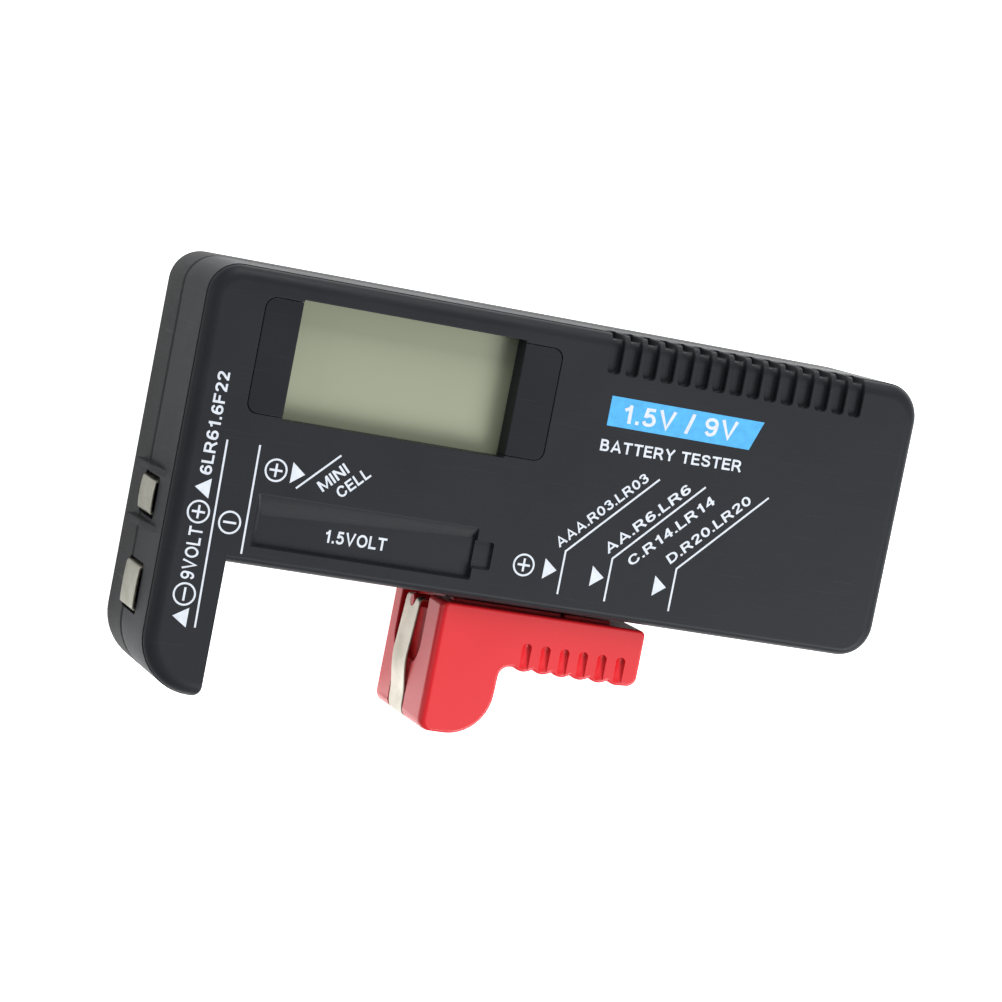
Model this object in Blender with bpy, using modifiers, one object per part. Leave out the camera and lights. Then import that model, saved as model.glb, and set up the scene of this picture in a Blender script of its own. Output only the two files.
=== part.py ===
"""Pocket battery tester: an L-shaped two-shell case with a small display, a sliding cell
holder on a slot along the lower edge, and two sprung contacts for a snap battery on the left end.

The case lies on its back. X runs along its length, Y up the face, and Z from back to front.
Plans are drawn from the case's own corner (left end, arm tip, back face), and one empty sets
that corner so that the model's origin is the centre of its underside.
"""

import math

import bmesh
import bpy
from mathutils import Matrix, Vector

MM = 0.001

# Case
CASE_LENGTH = 108.0 * MM
CASE_HEIGHT = 59.4 * MM
CASE_DEPTH = 24.5 * MM
FRONT_SHELL_DEPTH = 14.6 * MM
SIDE_WALL = 1.8 * MM
FRONT_WALL = 2.0 * MM
BACK_WALL = 1.8 * MM
ARM_WIDTH = 9.45 * MM
ARM_LENGTH = 19.0 * MM
ARM_CORNER = 8.0 * MM
ARM_TIP_CORNER = 1.0 * MM
END_CORNER = 5.0 * MM
HEAD_CORNER = 4.5 * MM
FRONT_EDGE = 1.5 * MM
BACK_EDGE = 1.0 * MM
GAP = 0.3 * MM

# Ventilation grooves over the top edge
VENT_WIDTH = 1.85 * MM
VENT_PITCH = 2.707 * MM
VENT_FIRST = 59.6 * MM
VENT_END_MARGIN = 10.0 * MM
VENT_LENGTH = 5.75 * MM
VENT_DEPTH = 1.0 * MM
VENT_TOP_RUN = 5.0 * MM

# Display
WINDOW_LEFT = 13.4 * MM
WINDOW_WIDTH = 32.55 * MM
WINDOW_HEIGHT = 16.65 * MM
WINDOW_TOP_MARGIN = 3.3 * MM
WING_WIDTH_LEFT = 5.3 * MM
WING_WIDTH_RIGHT = 5.75 * MM
WING_STEP = 0.3 * MM
WING_CORNER = 1.5 * MM
BEZEL_FLANGE = 0.6 * MM
BEZEL_THICKNESS = 0.9 * MM
GLASS_MARGIN = 1.3 * MM
GLASS_THICKNESS = 1.2 * MM
REFLECTOR_THICKNESS = 0.3 * MM
ZEBRA_WIDTH = 1.2 * MM
HOLDER_WALL = 1.5 * MM

# Battery recess under the printed voltage
RECESS_LEFT = 12.1 * MM
RECESS_WIDTH = 32.3 * MM
RECESS_FOOT = 2.8 * MM
RECESS_HEIGHT = 7.4 * MM
RECESS_DEPTH = 1.0 * MM
TAB_WIDTH = 2.6 * MM
TAB_HEIGHT = 3.9 * MM
TAB_RISE = 1.7 * MM
TAB_DEPTH = 0.6 * MM

# Slider and its slot
SLIDER_LEFT = 42.0 * MM
SLIDER_LENGTH = 31.4 * MM
SLIDER_TOP_GAP = 1.0 * MM
SLIDER_BAR_HEIGHT = 8.4 * MM
SLIDER_NOSE_DROP = 0.6 * MM
SLIDER_NOSE_LENGTH = 10.2 * MM
SLIDER_NOSE_CORNER = 6.5 * MM
SLIDER_SET_BACK = 2.5 * MM
SLIDER_BACK = 0.5 * MM
SLIDER_EDGE = 0.6 * MM
NECK_OFFSET = 8.0 * MM
NECK_LENGTH = 16.0 * MM
NECK_THICKNESS = 3.6 * MM
SLOT_LEFT = 20.5 * MM
SLOT_END_MARGIN = 7.0 * MM
FOOT_OVERHANG = 2.0 * MM
FOOT_WIDTH = 8.8 * MM
FOOT_THICKNESS = 2.0 * MM
GRIP_COUNT = 6
GRIP_PITCH = 2.9 * MM
GRIP_WIDTH = 1.3 * MM
GRIP_FIRST = 13.9 * MM
GRIP_HEIGHT = 4.15 * MM
GRIP_DEPTH = 1.0 * MM
GRIP_NOTCH = 0.5 * MM

# Contacts
SHEET = 0.4 * MM
LEAF_WIDTH = 7.4 * MM
LEAF_MID_DEPTH = 11.5 * MM
LEAF_CLEARANCE = 0.45 * MM
LEAF_FLANGE = 1.0 * MM
LEAF_CORNER = 0.8 * MM
SNAP_PROUD = 0.6 * MM
POSITIVE_LOW = 22.9 * MM
POSITIVE_HEIGHT = 5.0 * MM
NEGATIVE_LOW = 9.5 * MM
NEGATIVE_HEIGHT = 6.3 * MM
ARM_LEAF_LOW = 9.0 * MM
ARM_LEAF_HEIGHT = 6.6 * MM
ARM_LEAF_PROUD = 0.8 * MM
STRIP_WIDTH = 6.0 * MM
STRIP_DEPTH_MID = 14.3 * MM
STRIP_BOW = 1.2 * MM
STRIP_TRAVEL = 0.8 * MM
STRIP_GROOVE_WIDTH = 12.0 * MM
STRIP_GROOVE_FOOT = 7.2 * MM
STRIP_POCKET = 2.4 * MM
STRIP_CHANNEL = 1.7 * MM
RAIL_HEIGHT = 4.6 * MM
RAIL_THICKNESS = 0.5 * MM
RAIL_RIB_COUNT = 3
RAIL_RIB = 2.0 * MM

# Guards beside the positive snap contact
FIN_THICKNESS = 0.85 * MM
FIN_PROUD = 1.5 * MM
FIN_REAR = 1.0 * MM
FIN_FRONT = 2.3 * MM
FIN_SLOPE = 4.6 * MM
FIN_CORNER = 1.4 * MM
FIN_CLEARANCE = 0.55 * MM

# Fasteners
SCREW_RADIUS = 1.0 * MM
SCREW_HEAD_RADIUS = 2.0 * MM
SCREW_HEAD_HEIGHT = 1.3 * MM
SCREW_SINK = 2.2 * MM
CASE_SCREW_LENGTH = 12.0 * MM
PCB_SCREW_LENGTH = 5.0 * MM
SLIDER_SCREW_LENGTH = 5.0 * MM
SLIDER_SCREW_RADIUS = 0.8 * MM
BOSS_RADIUS = 2.5 * MM
BACK_BOSS_RADIUS = 2.9 * MM
BOSS_INSET = 4.0 * MM
ARM_BOSS = 4.9 * MM
LOWER_BOSS_RISE = 8.6 * MM

# Circuit board
PCB_DEPTH = 8.5 * MM
PCB_THICKNESS = 1.6 * MM
PCB_LEFT = 11.0 * MM
PCB_LENGTH = 64.0 * MM
PCB_FOOT = 8.3 * MM
PCB_TOP_MARGIN = 2.6 * MM
PCB_HOLE_INSET = 4.5 * MM
PCB_BOSS_CLEARANCE = 1.0 * MM
WIRE_RADIUS = 0.5 * MM
LEAD_RADIUS = 0.35 * MM

ROUND_STEPS = 5
TURN_STEPS = 16

# Levels that follow from the sizes above
PARTING = CASE_DEPTH - FRONT_SHELL_DEPTH
FRONT_RIM = PARTING + GAP / 2
BACK_RIM = PARTING - GAP / 2
FRONT_INNER = CASE_DEPTH - FRONT_WALL
WINDOW_TOP = CASE_HEIGHT - WINDOW_TOP_MARGIN
WINDOW_FOOT = WINDOW_TOP - WINDOW_HEIGHT
WINDOW_RIGHT = WINDOW_LEFT + WINDOW_WIDTH
BEZEL_BACK = FRONT_INNER - GAP - BEZEL_THICKNESS
GLASS_FRONT = BEZEL_BACK - GAP
GLASS_BACK = GLASS_FRONT - GLASS_THICKNESS
GLASS_FOOT = WINDOW_FOOT - GLASS_MARGIN - ZEBRA_WIDTH / 2
GLASS_TOP = WINDOW_TOP + GLASS_MARGIN / 2
PCB_FRONT = CASE_DEPTH - PCB_DEPTH
PCB_BACK = PCB_FRONT - PCB_THICKNESS
SLIDER_TOP = ARM_LENGTH - SLIDER_TOP_GAP
SLIDER_FRONT = CASE_DEPTH - SLIDER_SET_BACK
SLIDER_BAR_FOOT = SLIDER_TOP - SLIDER_BAR_HEIGHT
NECK_LEFT = SLIDER_LEFT + NECK_OFFSET
NECK_MID = NECK_LEFT + NECK_LENGTH / 2
NECK_TOP = ARM_LENGTH + SIDE_WALL + GAP / 2
FOOT_LOW = NECK_TOP + GAP
FOOT_TOP = FOOT_LOW + FOOT_THICKNESS
RAIL_FOOT = FOOT_TOP + SCREW_HEAD_HEIGHT + 2 * GAP
LEAF_MID = CASE_DEPTH - LEAF_MID_DEPTH
STRIP_MID = CASE_DEPTH - STRIP_DEPTH_MID
ORIGIN_X = (CASE_LENGTH - FIN_PROUD) / 2
ORIGIN_Y = (CASE_HEIGHT - SLIDER_NOSE_DROP) / 2


# ---- scene and materials

def clear_scene():
    """Leaves an empty file to build in."""
    for old in list(bpy.data.objects):
        bpy.data.objects.remove(old)
    for name in ("battery_tester", "cutters"):
        bpy.context.scene.collection.children.link(bpy.data.collections.new(name))


def make_material(name, colour, roughness, metallic=0.0):
    """A Principled material with one colour, roughness and metallic value."""
    material = bpy.data.materials.new(name)
    material.use_nodes = True
    shader = material.node_tree.nodes["Principled BSDF"]
    shader.inputs["Base Color"].default_value = (*colour, 1.0)
    shader.inputs["Roughness"].default_value = roughness
    shader.inputs["Metallic"].default_value = metallic
    return material


def make_corner_empty():
    """The case's own corner, which every piece hangs from."""
    corner = bpy.data.objects.new("case_corner", None)
    corner.location = (-ORIGIN_X, -ORIGIN_Y, 0.0)
    bpy.data.collections["battery_tester"].objects.link(corner)
    return corner


# ---- modelling helpers

def add_object(name, data, material=None, origin=(0.0, 0.0, 0.0)):
    """Links a piece or, without a material, a hidden cutter. Its origin is put at a point of the case."""
    made = bpy.data.objects.new(name, data)
    made.parent = bpy.data.objects["case_corner"]
    made.location = origin
    data.transform(Matrix.Translation(-Vector(origin)))
    if material is None:
        bpy.data.collections["cutters"].objects.link(made)
        made.hide_render = True
        made.display_type = "WIRE"
    else:
        data.materials.append(material)
        bpy.data.collections["battery_tester"].objects.link(made)
    return made


def rounded(corners):
    """Points of an outline whose corners, given as (x, y, radius), are arcs."""
    points = []
    for index, (x, y, radius) in enumerate(corners):
        here = Vector((x, y))
        back = (Vector(corners[index - 1][:2]) - here).normalized()
        ahead = (Vector(corners[(index + 1) % len(corners)][:2]) - here).normalized()
        if radius <= 0:
            points.append(here)
            continue
        half = back.angle(ahead) / 2
        centre = here + (back + ahead).normalized() * radius / math.sin(half)
        start = here + back * radius / math.tan(half) - centre
        turn = start.angle_signed(here + ahead * radius / math.tan(half) - centre)
        for step in range(ROUND_STEPS + 1):
            points.append(centre + Matrix.Rotation(-turn * step / ROUND_STEPS, 2) @ start)
    return points


def rectangle(left, foot, width, height, radius=0.0):
    """A rectangle's rounded outline."""
    right, top = left + width, foot + height
    return rounded([(left, foot, radius), (right, foot, radius), (right, top, radius), (left, top, radius)])


def curve_mesh(curve):
    """A curve made a mesh, with its caps welded and flat faces whole."""
    holder = bpy.data.objects.new("curve_holder", curve)
    bpy.context.scene.collection.objects.link(holder)
    graph = bpy.context.evaluated_depsgraph_get()
    mesh = bpy.data.meshes.new_from_object(holder.evaluated_get(graph))
    bpy.data.objects.remove(holder)
    shape = bmesh.new()
    shape.from_mesh(mesh)
    bmesh.ops.remove_doubles(shape, verts=shape.verts, dist=0.01 * MM)
    bmesh.ops.dissolve_limit(shape, angle_limit=0.001, verts=shape.verts, edges=shape.edges)
    bmesh.ops.recalc_face_normals(shape, faces=shape.faces)
    shape.to_mesh(mesh)
    shape.free()
    return mesh


AXIS_TURNS = {
    "Z": Matrix.Identity(4),
    "Y": Matrix(((1, 0, 0, 0), (0, 0, 1, 0), (0, 1, 0, 0), (0, 0, 0, 1))),
    "X": Matrix(((0, 0, 1, 0), (1, 0, 0, 0), (0, 1, 0, 0), (0, 0, 0, 1))),
}


def slab(name, outline, low, high, material=None, axis="Z", origin=(0.0, 0.0, 0.0)):
    """A flat outline thickened from low to high along an axis: XY for Z, XZ for Y and YZ for X."""
    curve = bpy.data.curves.new(name, "CURVE")
    curve.dimensions = "2D"
    curve.fill_mode = "BOTH"
    curve.extrude = (high - low) / 2
    spline = curve.splines.new("POLY")
    spline.points.add(len(outline) - 1)
    for point, place in zip(spline.points, outline):
        point.co = (place[0], place[1], 0.0, 1.0)
    spline.use_cyclic_u = True
    mesh = curve_mesh(curve)
    mesh.transform(AXIS_TURNS[axis] @ Matrix.Translation((0.0, 0.0, (low + high) / 2)))
    if AXIS_TURNS[axis].determinant() < 0:
        mesh.flip_normals()
    return add_object(name, mesh, material, origin)


def block(name, low, high, material=None, origin=(0.0, 0.0, 0.0)):
    """A box between two corners."""
    size = Vector(high) - Vector(low)
    shape = bmesh.new()
    bmesh.ops.create_cube(shape, size=1.0)
    place = Matrix.Translation((Vector(high) + Vector(low)) / 2) @ Matrix.Diagonal((*size, 1.0))
    bmesh.ops.transform(shape, matrix=place, verts=shape.verts)
    mesh = bpy.data.meshes.new(name)
    shape.to_mesh(mesh)
    shape.free()
    return add_object(name, mesh, material, origin)


def cylinder(name, centre, radius, low, high, material=None):
    """An upright cylinder on a plan point."""
    shape = bmesh.new()
    bmesh.ops.create_cone(shape, cap_ends=True, segments=TURN_STEPS, radius1=radius, radius2=radius,
                          depth=high - low)
    place = Matrix.Translation((centre[0], centre[1], (low + high) / 2))
    bmesh.ops.transform(shape, matrix=place, verts=shape.verts)
    mesh = bpy.data.meshes.new(name)
    shape.to_mesh(mesh)
    shape.free()
    return add_object(name, mesh, material)


def turned(name, profile, place, material, turn=None):
    """A turned piece: (radius, height) points, from its top centre down its outer side."""
    mesh = bpy.data.meshes.new(name)
    mesh.from_pydata([(radius, 0.0, height) for radius, height in profile],
                     [(index, index + 1) for index in range(len(profile) - 1)], [])
    made = add_object(name, mesh, material)
    made.location = place
    if turn:
        made.rotation_euler = turn
    screw = made.modifiers.new("turn", "SCREW")
    screw.steps = TURN_STEPS
    screw.render_steps = TURN_STEPS
    screw.use_merge_vertices = True
    screw.merge_threshold = 0.01 * MM
    screw.use_smooth_shade = False
    return made


def tube(name, route, radii, material):
    """A round wire along a route, with one radius or one for each point."""
    curve = bpy.data.curves.new(name, "CURVE")
    curve.dimensions = "3D"
    curve.bevel_depth = 1.0
    curve.bevel_resolution = 2
    curve.use_fill_caps = True
    spline = curve.splines.new("POLY")
    spline.points.add(len(route) - 1)
    for index, place in enumerate(route):
        spline.points[index].co = (*place, 1.0)
        spline.points[index].radius = radii[index] if isinstance(radii, list) else radii
    return add_object(name, curve, material)


def smooth_route(points, steps=4):
    """A smooth curve read through the route's own points."""
    ends = [points[0] * 2 - points[1], *points, points[-1] * 2 - points[-2]]
    route = []
    for index in range(1, len(ends) - 2):
        before, here, there, after = ends[index - 1:index + 3]
        for step in range(steps):
            t = step / steps
            route.append(0.5 * (2 * here + (there - before) * t
                                + (2 * before - 5 * here + 4 * there - after) * t * t
                                + (3 * here - before - 3 * there + after) * t ** 3))
    return [*route, points[-1]]


def bent_sheet(path, thickness):
    """The outline of a bent strip: its path and the same path set back by the sheet's thickness."""
    near, far = [], []
    for index, here in enumerate(path):
        along = path[min(index + 1, len(path) - 1)] - path[max(index - 1, 0)]
        side = Vector((along.y, -along.x)).normalized() * thickness / 2
        near.append(here + side)
        far.append(here - side)
    return near + far[::-1]


def combine(target, other, operation):
    """Adds a Boolean modifier that cuts the other object from the target, or joins it to it."""
    step = target.modifiers.new(other.name, "BOOLEAN")
    step.operation = operation
    step.object = other
    step.solver = "EXACT"


def cut(target, other):
    combine(target, other, "DIFFERENCE")


def join(target, other):
    combine(target, other, "UNION")


def repeat(target, count, pitch):
    """Copies a cutter along X."""
    array = target.modifiers.new("row", "ARRAY")
    array.count = count
    array.use_relative_offset = False
    array.use_constant_offset = True
    array.constant_offset_displace = (pitch, 0.0, 0.0)


def ease_level_edges(target, level, width, chosen):
    """Bevels the edges that lie at one height and that the test chooses."""
    weights = target.data.attributes.new("bevel_weight_edge", "FLOAT", "EDGE")
    for edge in target.data.edges:
        ends = [target.data.vertices[index].co for index in edge.vertices]
        level_with = all(abs(end.z - level) < 0.01 * MM for end in ends)
        weights.data[edge.index].value = 1.0 if level_with and chosen(*ends) else 0.0
    bevel = target.modifiers.new("ease", "BEVEL")
    bevel.limit_method = "WEIGHT"
    bevel.width = width
    bevel.segments = 3


# ---- the case

def case_outline(inset):
    """The L-shaped outline of the case, drawn in by a wall."""
    right, top = CASE_LENGTH - inset, CASE_HEIGHT - inset
    inner, foot = ARM_WIDTH - inset, ARM_LENGTH + inset
    tip = max(ARM_TIP_CORNER - inset, GAP)
    return rounded([
        (inset, inset, min(ARM_CORNER - inset, inner - inset - tip - GAP)),
        (inner, inset, tip),
        (inner, foot, 0.0),
        (right, foot, END_CORNER - inset),
        (right, top, END_CORNER - inset),
        (inset, top, HEAD_CORNER - inset),
    ])


def outer_edge(start, end):
    """True for an outline edge that isn't the arm's sharp inner side."""
    return not (abs(start.x - ARM_WIDTH) < MM and abs(end.x - ARM_WIDTH) < MM
                and abs(start.y - end.y) > MM)


def case_bosses():
    """Plan points of the four case screws."""
    return [
        (BOSS_INSET, CASE_HEIGHT - BOSS_INSET),
        (CASE_LENGTH - BOSS_INSET, CASE_HEIGHT - BOSS_INSET),
        (CASE_LENGTH - BOSS_INSET, ARM_LENGTH + LOWER_BOSS_RISE),
        (ARM_BOSS, ARM_BOSS),
    ]


def pcb_bosses():
    """Plan points of the two board screws, clear of the display."""
    bezel_end = WINDOW_RIGHT + WING_WIDTH_RIGHT + BEZEL_FLANGE
    return [
        (bezel_end + BOSS_RADIUS + PCB_BOSS_CLEARANCE, CASE_HEIGHT - PCB_TOP_MARGIN - PCB_HOLE_INSET),
        (PCB_LEFT + PCB_LENGTH - PCB_HOLE_INSET, ARM_LENGTH + PCB_FOOT + PCB_HOLE_INSET),
    ]


def leaf_windows():
    """Windows for the three sprung leaves: name, the wall's X range, and the Y range."""
    beyond = FIN_PROUD + 2 * MM
    inner = ARM_WIDTH - SIDE_WALL
    return [
        ("positive_window", -beyond, SIDE_WALL + GAP, POSITIVE_LOW, POSITIVE_HEIGHT),
        ("negative_window", -beyond, SIDE_WALL + GAP, NEGATIVE_LOW, NEGATIVE_HEIGHT),
        ("arm_window", inner - GAP, ARM_WIDTH + MM, ARM_LEAF_LOW, ARM_LEAF_HEIGHT),
    ]


def fin_outline():
    """A guard fin's plan, X by Z: square-shouldered at the back and sloping to the wall in front."""
    rear = LEAF_MID - LEAF_WIDTH / 2 - LEAF_CLEARANCE - FIN_REAR
    front = LEAF_MID + LEAF_WIDTH / 2 + LEAF_CLEARANCE + FIN_FRONT
    return rounded([
        (SIDE_WALL / 2, rear, 0), (SIDE_WALL / 2, front, 0), (0, front, 0),
        (-FIN_PROUD, front - FIN_SLOPE, FIN_SLOPE / 2), (-FIN_PROUD, rear, FIN_CORNER),
    ])


def fin_levels():
    """The middles of the fins below and above the positive contact."""
    reach = LEAF_CLEARANCE + FIN_CLEARANCE + FIN_THICKNESS / 2
    return POSITIVE_LOW - reach, POSITIVE_LOW + POSITIVE_HEIGHT + reach


def add_shared_openings(shell, side, low, high):
    """Cuts the contact windows and the slider's slot in one shell, between two heights."""
    window_low = max(low, LEAF_MID - LEAF_WIDTH / 2 - LEAF_CLEARANCE)
    window_high = min(high, LEAF_MID + LEAF_WIDTH / 2 + LEAF_CLEARANCE)
    for name, left, right, foot, height in leaf_windows():
        cut(shell, block(f"{side}_{name}", (left, foot - LEAF_CLEARANCE, window_low),
                         (right, foot + height + LEAF_CLEARANCE, window_high)))
    half = NECK_THICKNESS / 2 + GAP
    cut(shell, block(f"{side}_slot", (SLOT_LEFT, ARM_LENGTH - MM, max(low, PARTING - half)),
                     (CASE_LENGTH - SLOT_END_MARGIN, ARM_LENGTH + SIDE_WALL + GAP,
                      min(high, PARTING + half))))


def add_fins(shell, side, low, high):
    """Joins this shell's share of the two guard fins, which the parting line divides."""
    for number, level in enumerate(fin_levels(), start=1):
        fin = slab(f"{side}_fin_{number}", fin_outline(), level - FIN_THICKNESS / 2,
                   level + FIN_THICKNESS / 2, axis="Y")
        trim = block(f"{side}_fin_trim_{number}", (-FIN_PROUD - MM, level - MM, low),
                     (SIDE_WALL + MM, level + MM, high))
        combine(fin, trim, "INTERSECT")
        join(shell, fin)


def display_openings():
    """The window through the front wall and the wider opening for the bezel's wings."""
    window = slab("window_opening", rectangle(WINDOW_LEFT, WINDOW_FOOT, WINDOW_WIDTH, WINDOW_HEIGHT),
                  FRONT_INNER - MM, CASE_DEPTH + MM)
    wings = slab("wing_opening", rectangle(
        WINDOW_LEFT - WING_WIDTH_LEFT, WINDOW_FOOT + WING_STEP,
        WING_WIDTH_LEFT + WINDOW_WIDTH + WING_WIDTH_RIGHT, WINDOW_HEIGHT - 2 * WING_STEP, WING_CORNER,
    ), FRONT_INNER - MM, CASE_DEPTH + MM)
    return window, wings


def vent_row(shell):
    """Cuts the row of grooves that starts on the face and runs over the top edge."""
    count = int((CASE_LENGTH - VENT_END_MARGIN - VENT_FIRST) / VENT_PITCH + 1e-6) + 1
    foot = CASE_HEIGHT - VENT_LENGTH
    left, half = VENT_FIRST - VENT_WIDTH / 2, VENT_WIDTH / 2
    face = slab("vent_face", rounded([(left, foot, half), (left + VENT_WIDTH, foot, half),
                                      (left + VENT_WIDTH, CASE_HEIGHT + MM, 0), (left, CASE_HEIGHT + MM, 0)]),
                CASE_DEPTH - VENT_DEPTH, CASE_DEPTH + MM)
    side = block("vent_side", (left, CASE_HEIGHT - VENT_DEPTH, CASE_DEPTH - VENT_TOP_RUN),
                 (left + VENT_WIDTH, CASE_HEIGHT + MM, CASE_DEPTH - VENT_DEPTH / 2))
    for cutter in (face, side):
        repeat(cutter, count, VENT_PITCH)
        cut(shell, cutter)


def make_front_shell(material):
    shell = slab("front_shell", case_outline(0.0), FRONT_RIM, CASE_DEPTH, material)
    ease_level_edges(shell, CASE_DEPTH, FRONT_EDGE, outer_edge)
    cut(shell, slab("front_cavity", case_outline(SIDE_WALL), FRONT_RIM - MM, FRONT_INNER))
    for number, spot in enumerate(case_bosses(), start=1):
        join(shell, cylinder(f"front_boss_{number}", spot, BOSS_RADIUS, FRONT_RIM, FRONT_INNER + GAP))
        cut(shell, cylinder(f"front_pilot_{number}", spot, SCREW_RADIUS + GAP, FRONT_RIM - MM,
                            SCREW_SINK + CASE_SCREW_LENGTH + SCREW_HEAD_HEIGHT + MM))
    for number, spot in enumerate(pcb_bosses(), start=1):
        join(shell, cylinder(f"pcb_boss_{number}", spot, BOSS_RADIUS, PCB_FRONT + GAP, FRONT_INNER + GAP))
        cut(shell, cylinder(f"pcb_pilot_{number}", spot, SCREW_RADIUS + GAP, PCB_FRONT,
                            FRONT_INNER - GAP))
    add_fins(shell, "front", FRONT_RIM, CASE_DEPTH + MM)
    add_shared_openings(shell, "front", FRONT_RIM - MM, CASE_DEPTH)
    for opening in display_openings():
        cut(shell, opening)
    foot = ARM_LENGTH + RECESS_FOOT
    cut(shell, slab("recess", rectangle(RECESS_LEFT, foot, RECESS_WIDTH, RECESS_HEIGHT),
                    CASE_DEPTH - RECESS_DEPTH, CASE_DEPTH + MM))
    cut(shell, block("recess_tab", (RECESS_LEFT + RECESS_WIDTH - GAP, foot + TAB_RISE, CASE_DEPTH - TAB_DEPTH),
                     (RECESS_LEFT + RECESS_WIDTH + TAB_WIDTH, foot + TAB_RISE + TAB_HEIGHT, CASE_DEPTH + MM)))
    vent_row(shell)
    return shell


def make_rear_shell(material):
    shell = slab("rear_shell", case_outline(0.0), 0.0, BACK_RIM, material)
    ease_level_edges(shell, 0.0, BACK_EDGE, outer_edge)
    cut(shell, slab("rear_cavity", case_outline(SIDE_WALL), BACK_WALL, BACK_RIM + MM))
    for number, spot in enumerate(case_bosses(), start=1):
        join(shell, cylinder(f"rear_boss_{number}", spot, BACK_BOSS_RADIUS, BACK_WALL - GAP, BACK_RIM))
        cut(shell, cylinder(f"rear_hole_{number}", spot, SCREW_RADIUS + GAP, -MM, BACK_RIM + MM))
        cut(shell, cylinder(f"screw_sink_{number}", spot, SCREW_HEAD_RADIUS + GAP, -MM,
                            SCREW_SINK + SCREW_HEAD_HEIGHT + GAP))
    add_fins(shell, "rear", -MM, BACK_RIM)
    add_shared_openings(shell, "rear", 0.0, BACK_RIM + MM)
    right = CASE_LENGTH - SLOT_END_MARGIN
    for number in range(RAIL_RIB_COUNT):
        middle = SLOT_LEFT + (right - SLOT_LEFT) * (number + 0.5) / RAIL_RIB_COUNT
        join(shell, block(f"rail_rib_{number + 1}", (middle - RAIL_RIB / 2, RAIL_FOOT, BACK_WALL - GAP),
                          (middle + RAIL_RIB / 2, RAIL_FOOT + RAIL_RIB, rail_low() - GAP)))
    return shell


# ---- the display and the board

def make_display(plastic, glass, foil, rubber):
    wing_foot, wing_height = WINDOW_FOOT + WING_STEP + GAP, WINDOW_HEIGHT - 2 * WING_STEP - 2 * GAP
    left = WINDOW_LEFT - WING_WIDTH_LEFT
    right = WINDOW_RIGHT + WING_WIDTH_RIGHT
    frame = slab("display_bezel", rectangle(
        left - BEZEL_FLANGE, GLASS_FOOT, right - left + 2 * BEZEL_FLANGE, GLASS_TOP - GLASS_FOOT,
    ), BEZEL_BACK, BEZEL_BACK + BEZEL_THICKNESS, plastic)
    join(frame, slab("bezel_wings", rectangle(left + GAP, wing_foot, right - left - 2 * GAP, wing_height,
                                              WING_CORNER - GAP), BEZEL_BACK, CASE_DEPTH))
    cut(frame, slab("bezel_window", rectangle(WINDOW_LEFT, WINDOW_FOOT, WINDOW_WIDTH, WINDOW_HEIGHT),
                    BEZEL_BACK - MM, CASE_DEPTH + MM))
    glass_left, glass_right = WINDOW_LEFT - GLASS_MARGIN, WINDOW_RIGHT + GLASS_MARGIN
    width = glass_right - glass_left
    slab("lcd_glass", rectangle(glass_left, GLASS_FOOT, width, GLASS_TOP - GLASS_FOOT),
         GLASS_BACK, GLASS_FRONT, glass)
    foil_foot = GLASS_FOOT + ZEBRA_WIDTH + GAP
    slab("lcd_reflector", rectangle(glass_left, foil_foot, width, GLASS_TOP - foil_foot),
         GLASS_BACK - GAP - REFLECTOR_THICKNESS, GLASS_BACK - GAP, foil)
    slab("zebra_strip", rectangle(WINDOW_LEFT, GLASS_FOOT, WINDOW_WIDTH, ZEBRA_WIDTH),
         PCB_FRONT + GAP, GLASS_BACK - GAP, rubber)
    holder_top = GLASS_BACK - 2 * GAP - REFLECTOR_THICKNESS
    holder = slab("lcd_holder", rectangle(glass_left, foil_foot, width, GLASS_TOP - foil_foot),
                  PCB_FRONT + GAP, holder_top, plastic)
    cut(holder, slab("holder_opening", rectangle(
        glass_left + HOLDER_WALL, foil_foot + HOLDER_WALL, width - 2 * HOLDER_WALL,
        GLASS_TOP - foil_foot - 2 * HOLDER_WALL), PCB_FRONT, holder_top + MM))


def make_board(material):
    foot = ARM_LENGTH + PCB_FOOT
    board = slab("main_pcb", rectangle(PCB_LEFT, foot, PCB_LENGTH, CASE_HEIGHT - PCB_TOP_MARGIN - foot, MM),
                 PCB_BACK, PCB_FRONT, material)
    for number, spot in enumerate(pcb_bosses(), start=1):
        cut(board, cylinder(f"board_hole_{number}", spot, SCREW_RADIUS + GAP, PCB_BACK - MM, PCB_FRONT + MM))


def on_board(across, up, drop=GAP):
    """A point under the back of the board, from its left edge and from its foot or, below zero, its top."""
    edge = CASE_HEIGHT - PCB_TOP_MARGIN if up < 0 else ARM_LENGTH + PCB_FOOT
    return Vector((PCB_LEFT + across, edge + up, PCB_BACK - drop))


def make_axial(name, middle, length, radius, leads, material):
    """An axial part: one wire that thickens into the body and bends up to the board at both ends."""
    body_drop = radius + GAP
    steps = [(-length / 2 - leads, 0, LEAD_RADIUS), (-length / 2 - leads, body_drop, LEAD_RADIUS),
             (-length / 2, body_drop, LEAD_RADIUS), (-length / 2, body_drop, radius * 0.9),
             (-length / 2 + radius / 2, body_drop, radius), (length / 2 - radius / 2, body_drop, radius),
             (length / 2, body_drop, radius * 0.9), (length / 2, body_drop, LEAD_RADIUS),
             (length / 2 + leads, body_drop, LEAD_RADIUS), (length / 2 + leads, 0, LEAD_RADIUS)]
    nudge = 0.05 * MM
    route = [middle + Vector((x + nudge * (index - 4.5) / 4.5, 0, -drop))
             for index, (x, drop, _) in enumerate(steps)]
    return tube(name, route, [size for _, _, size in steps], material)


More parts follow.
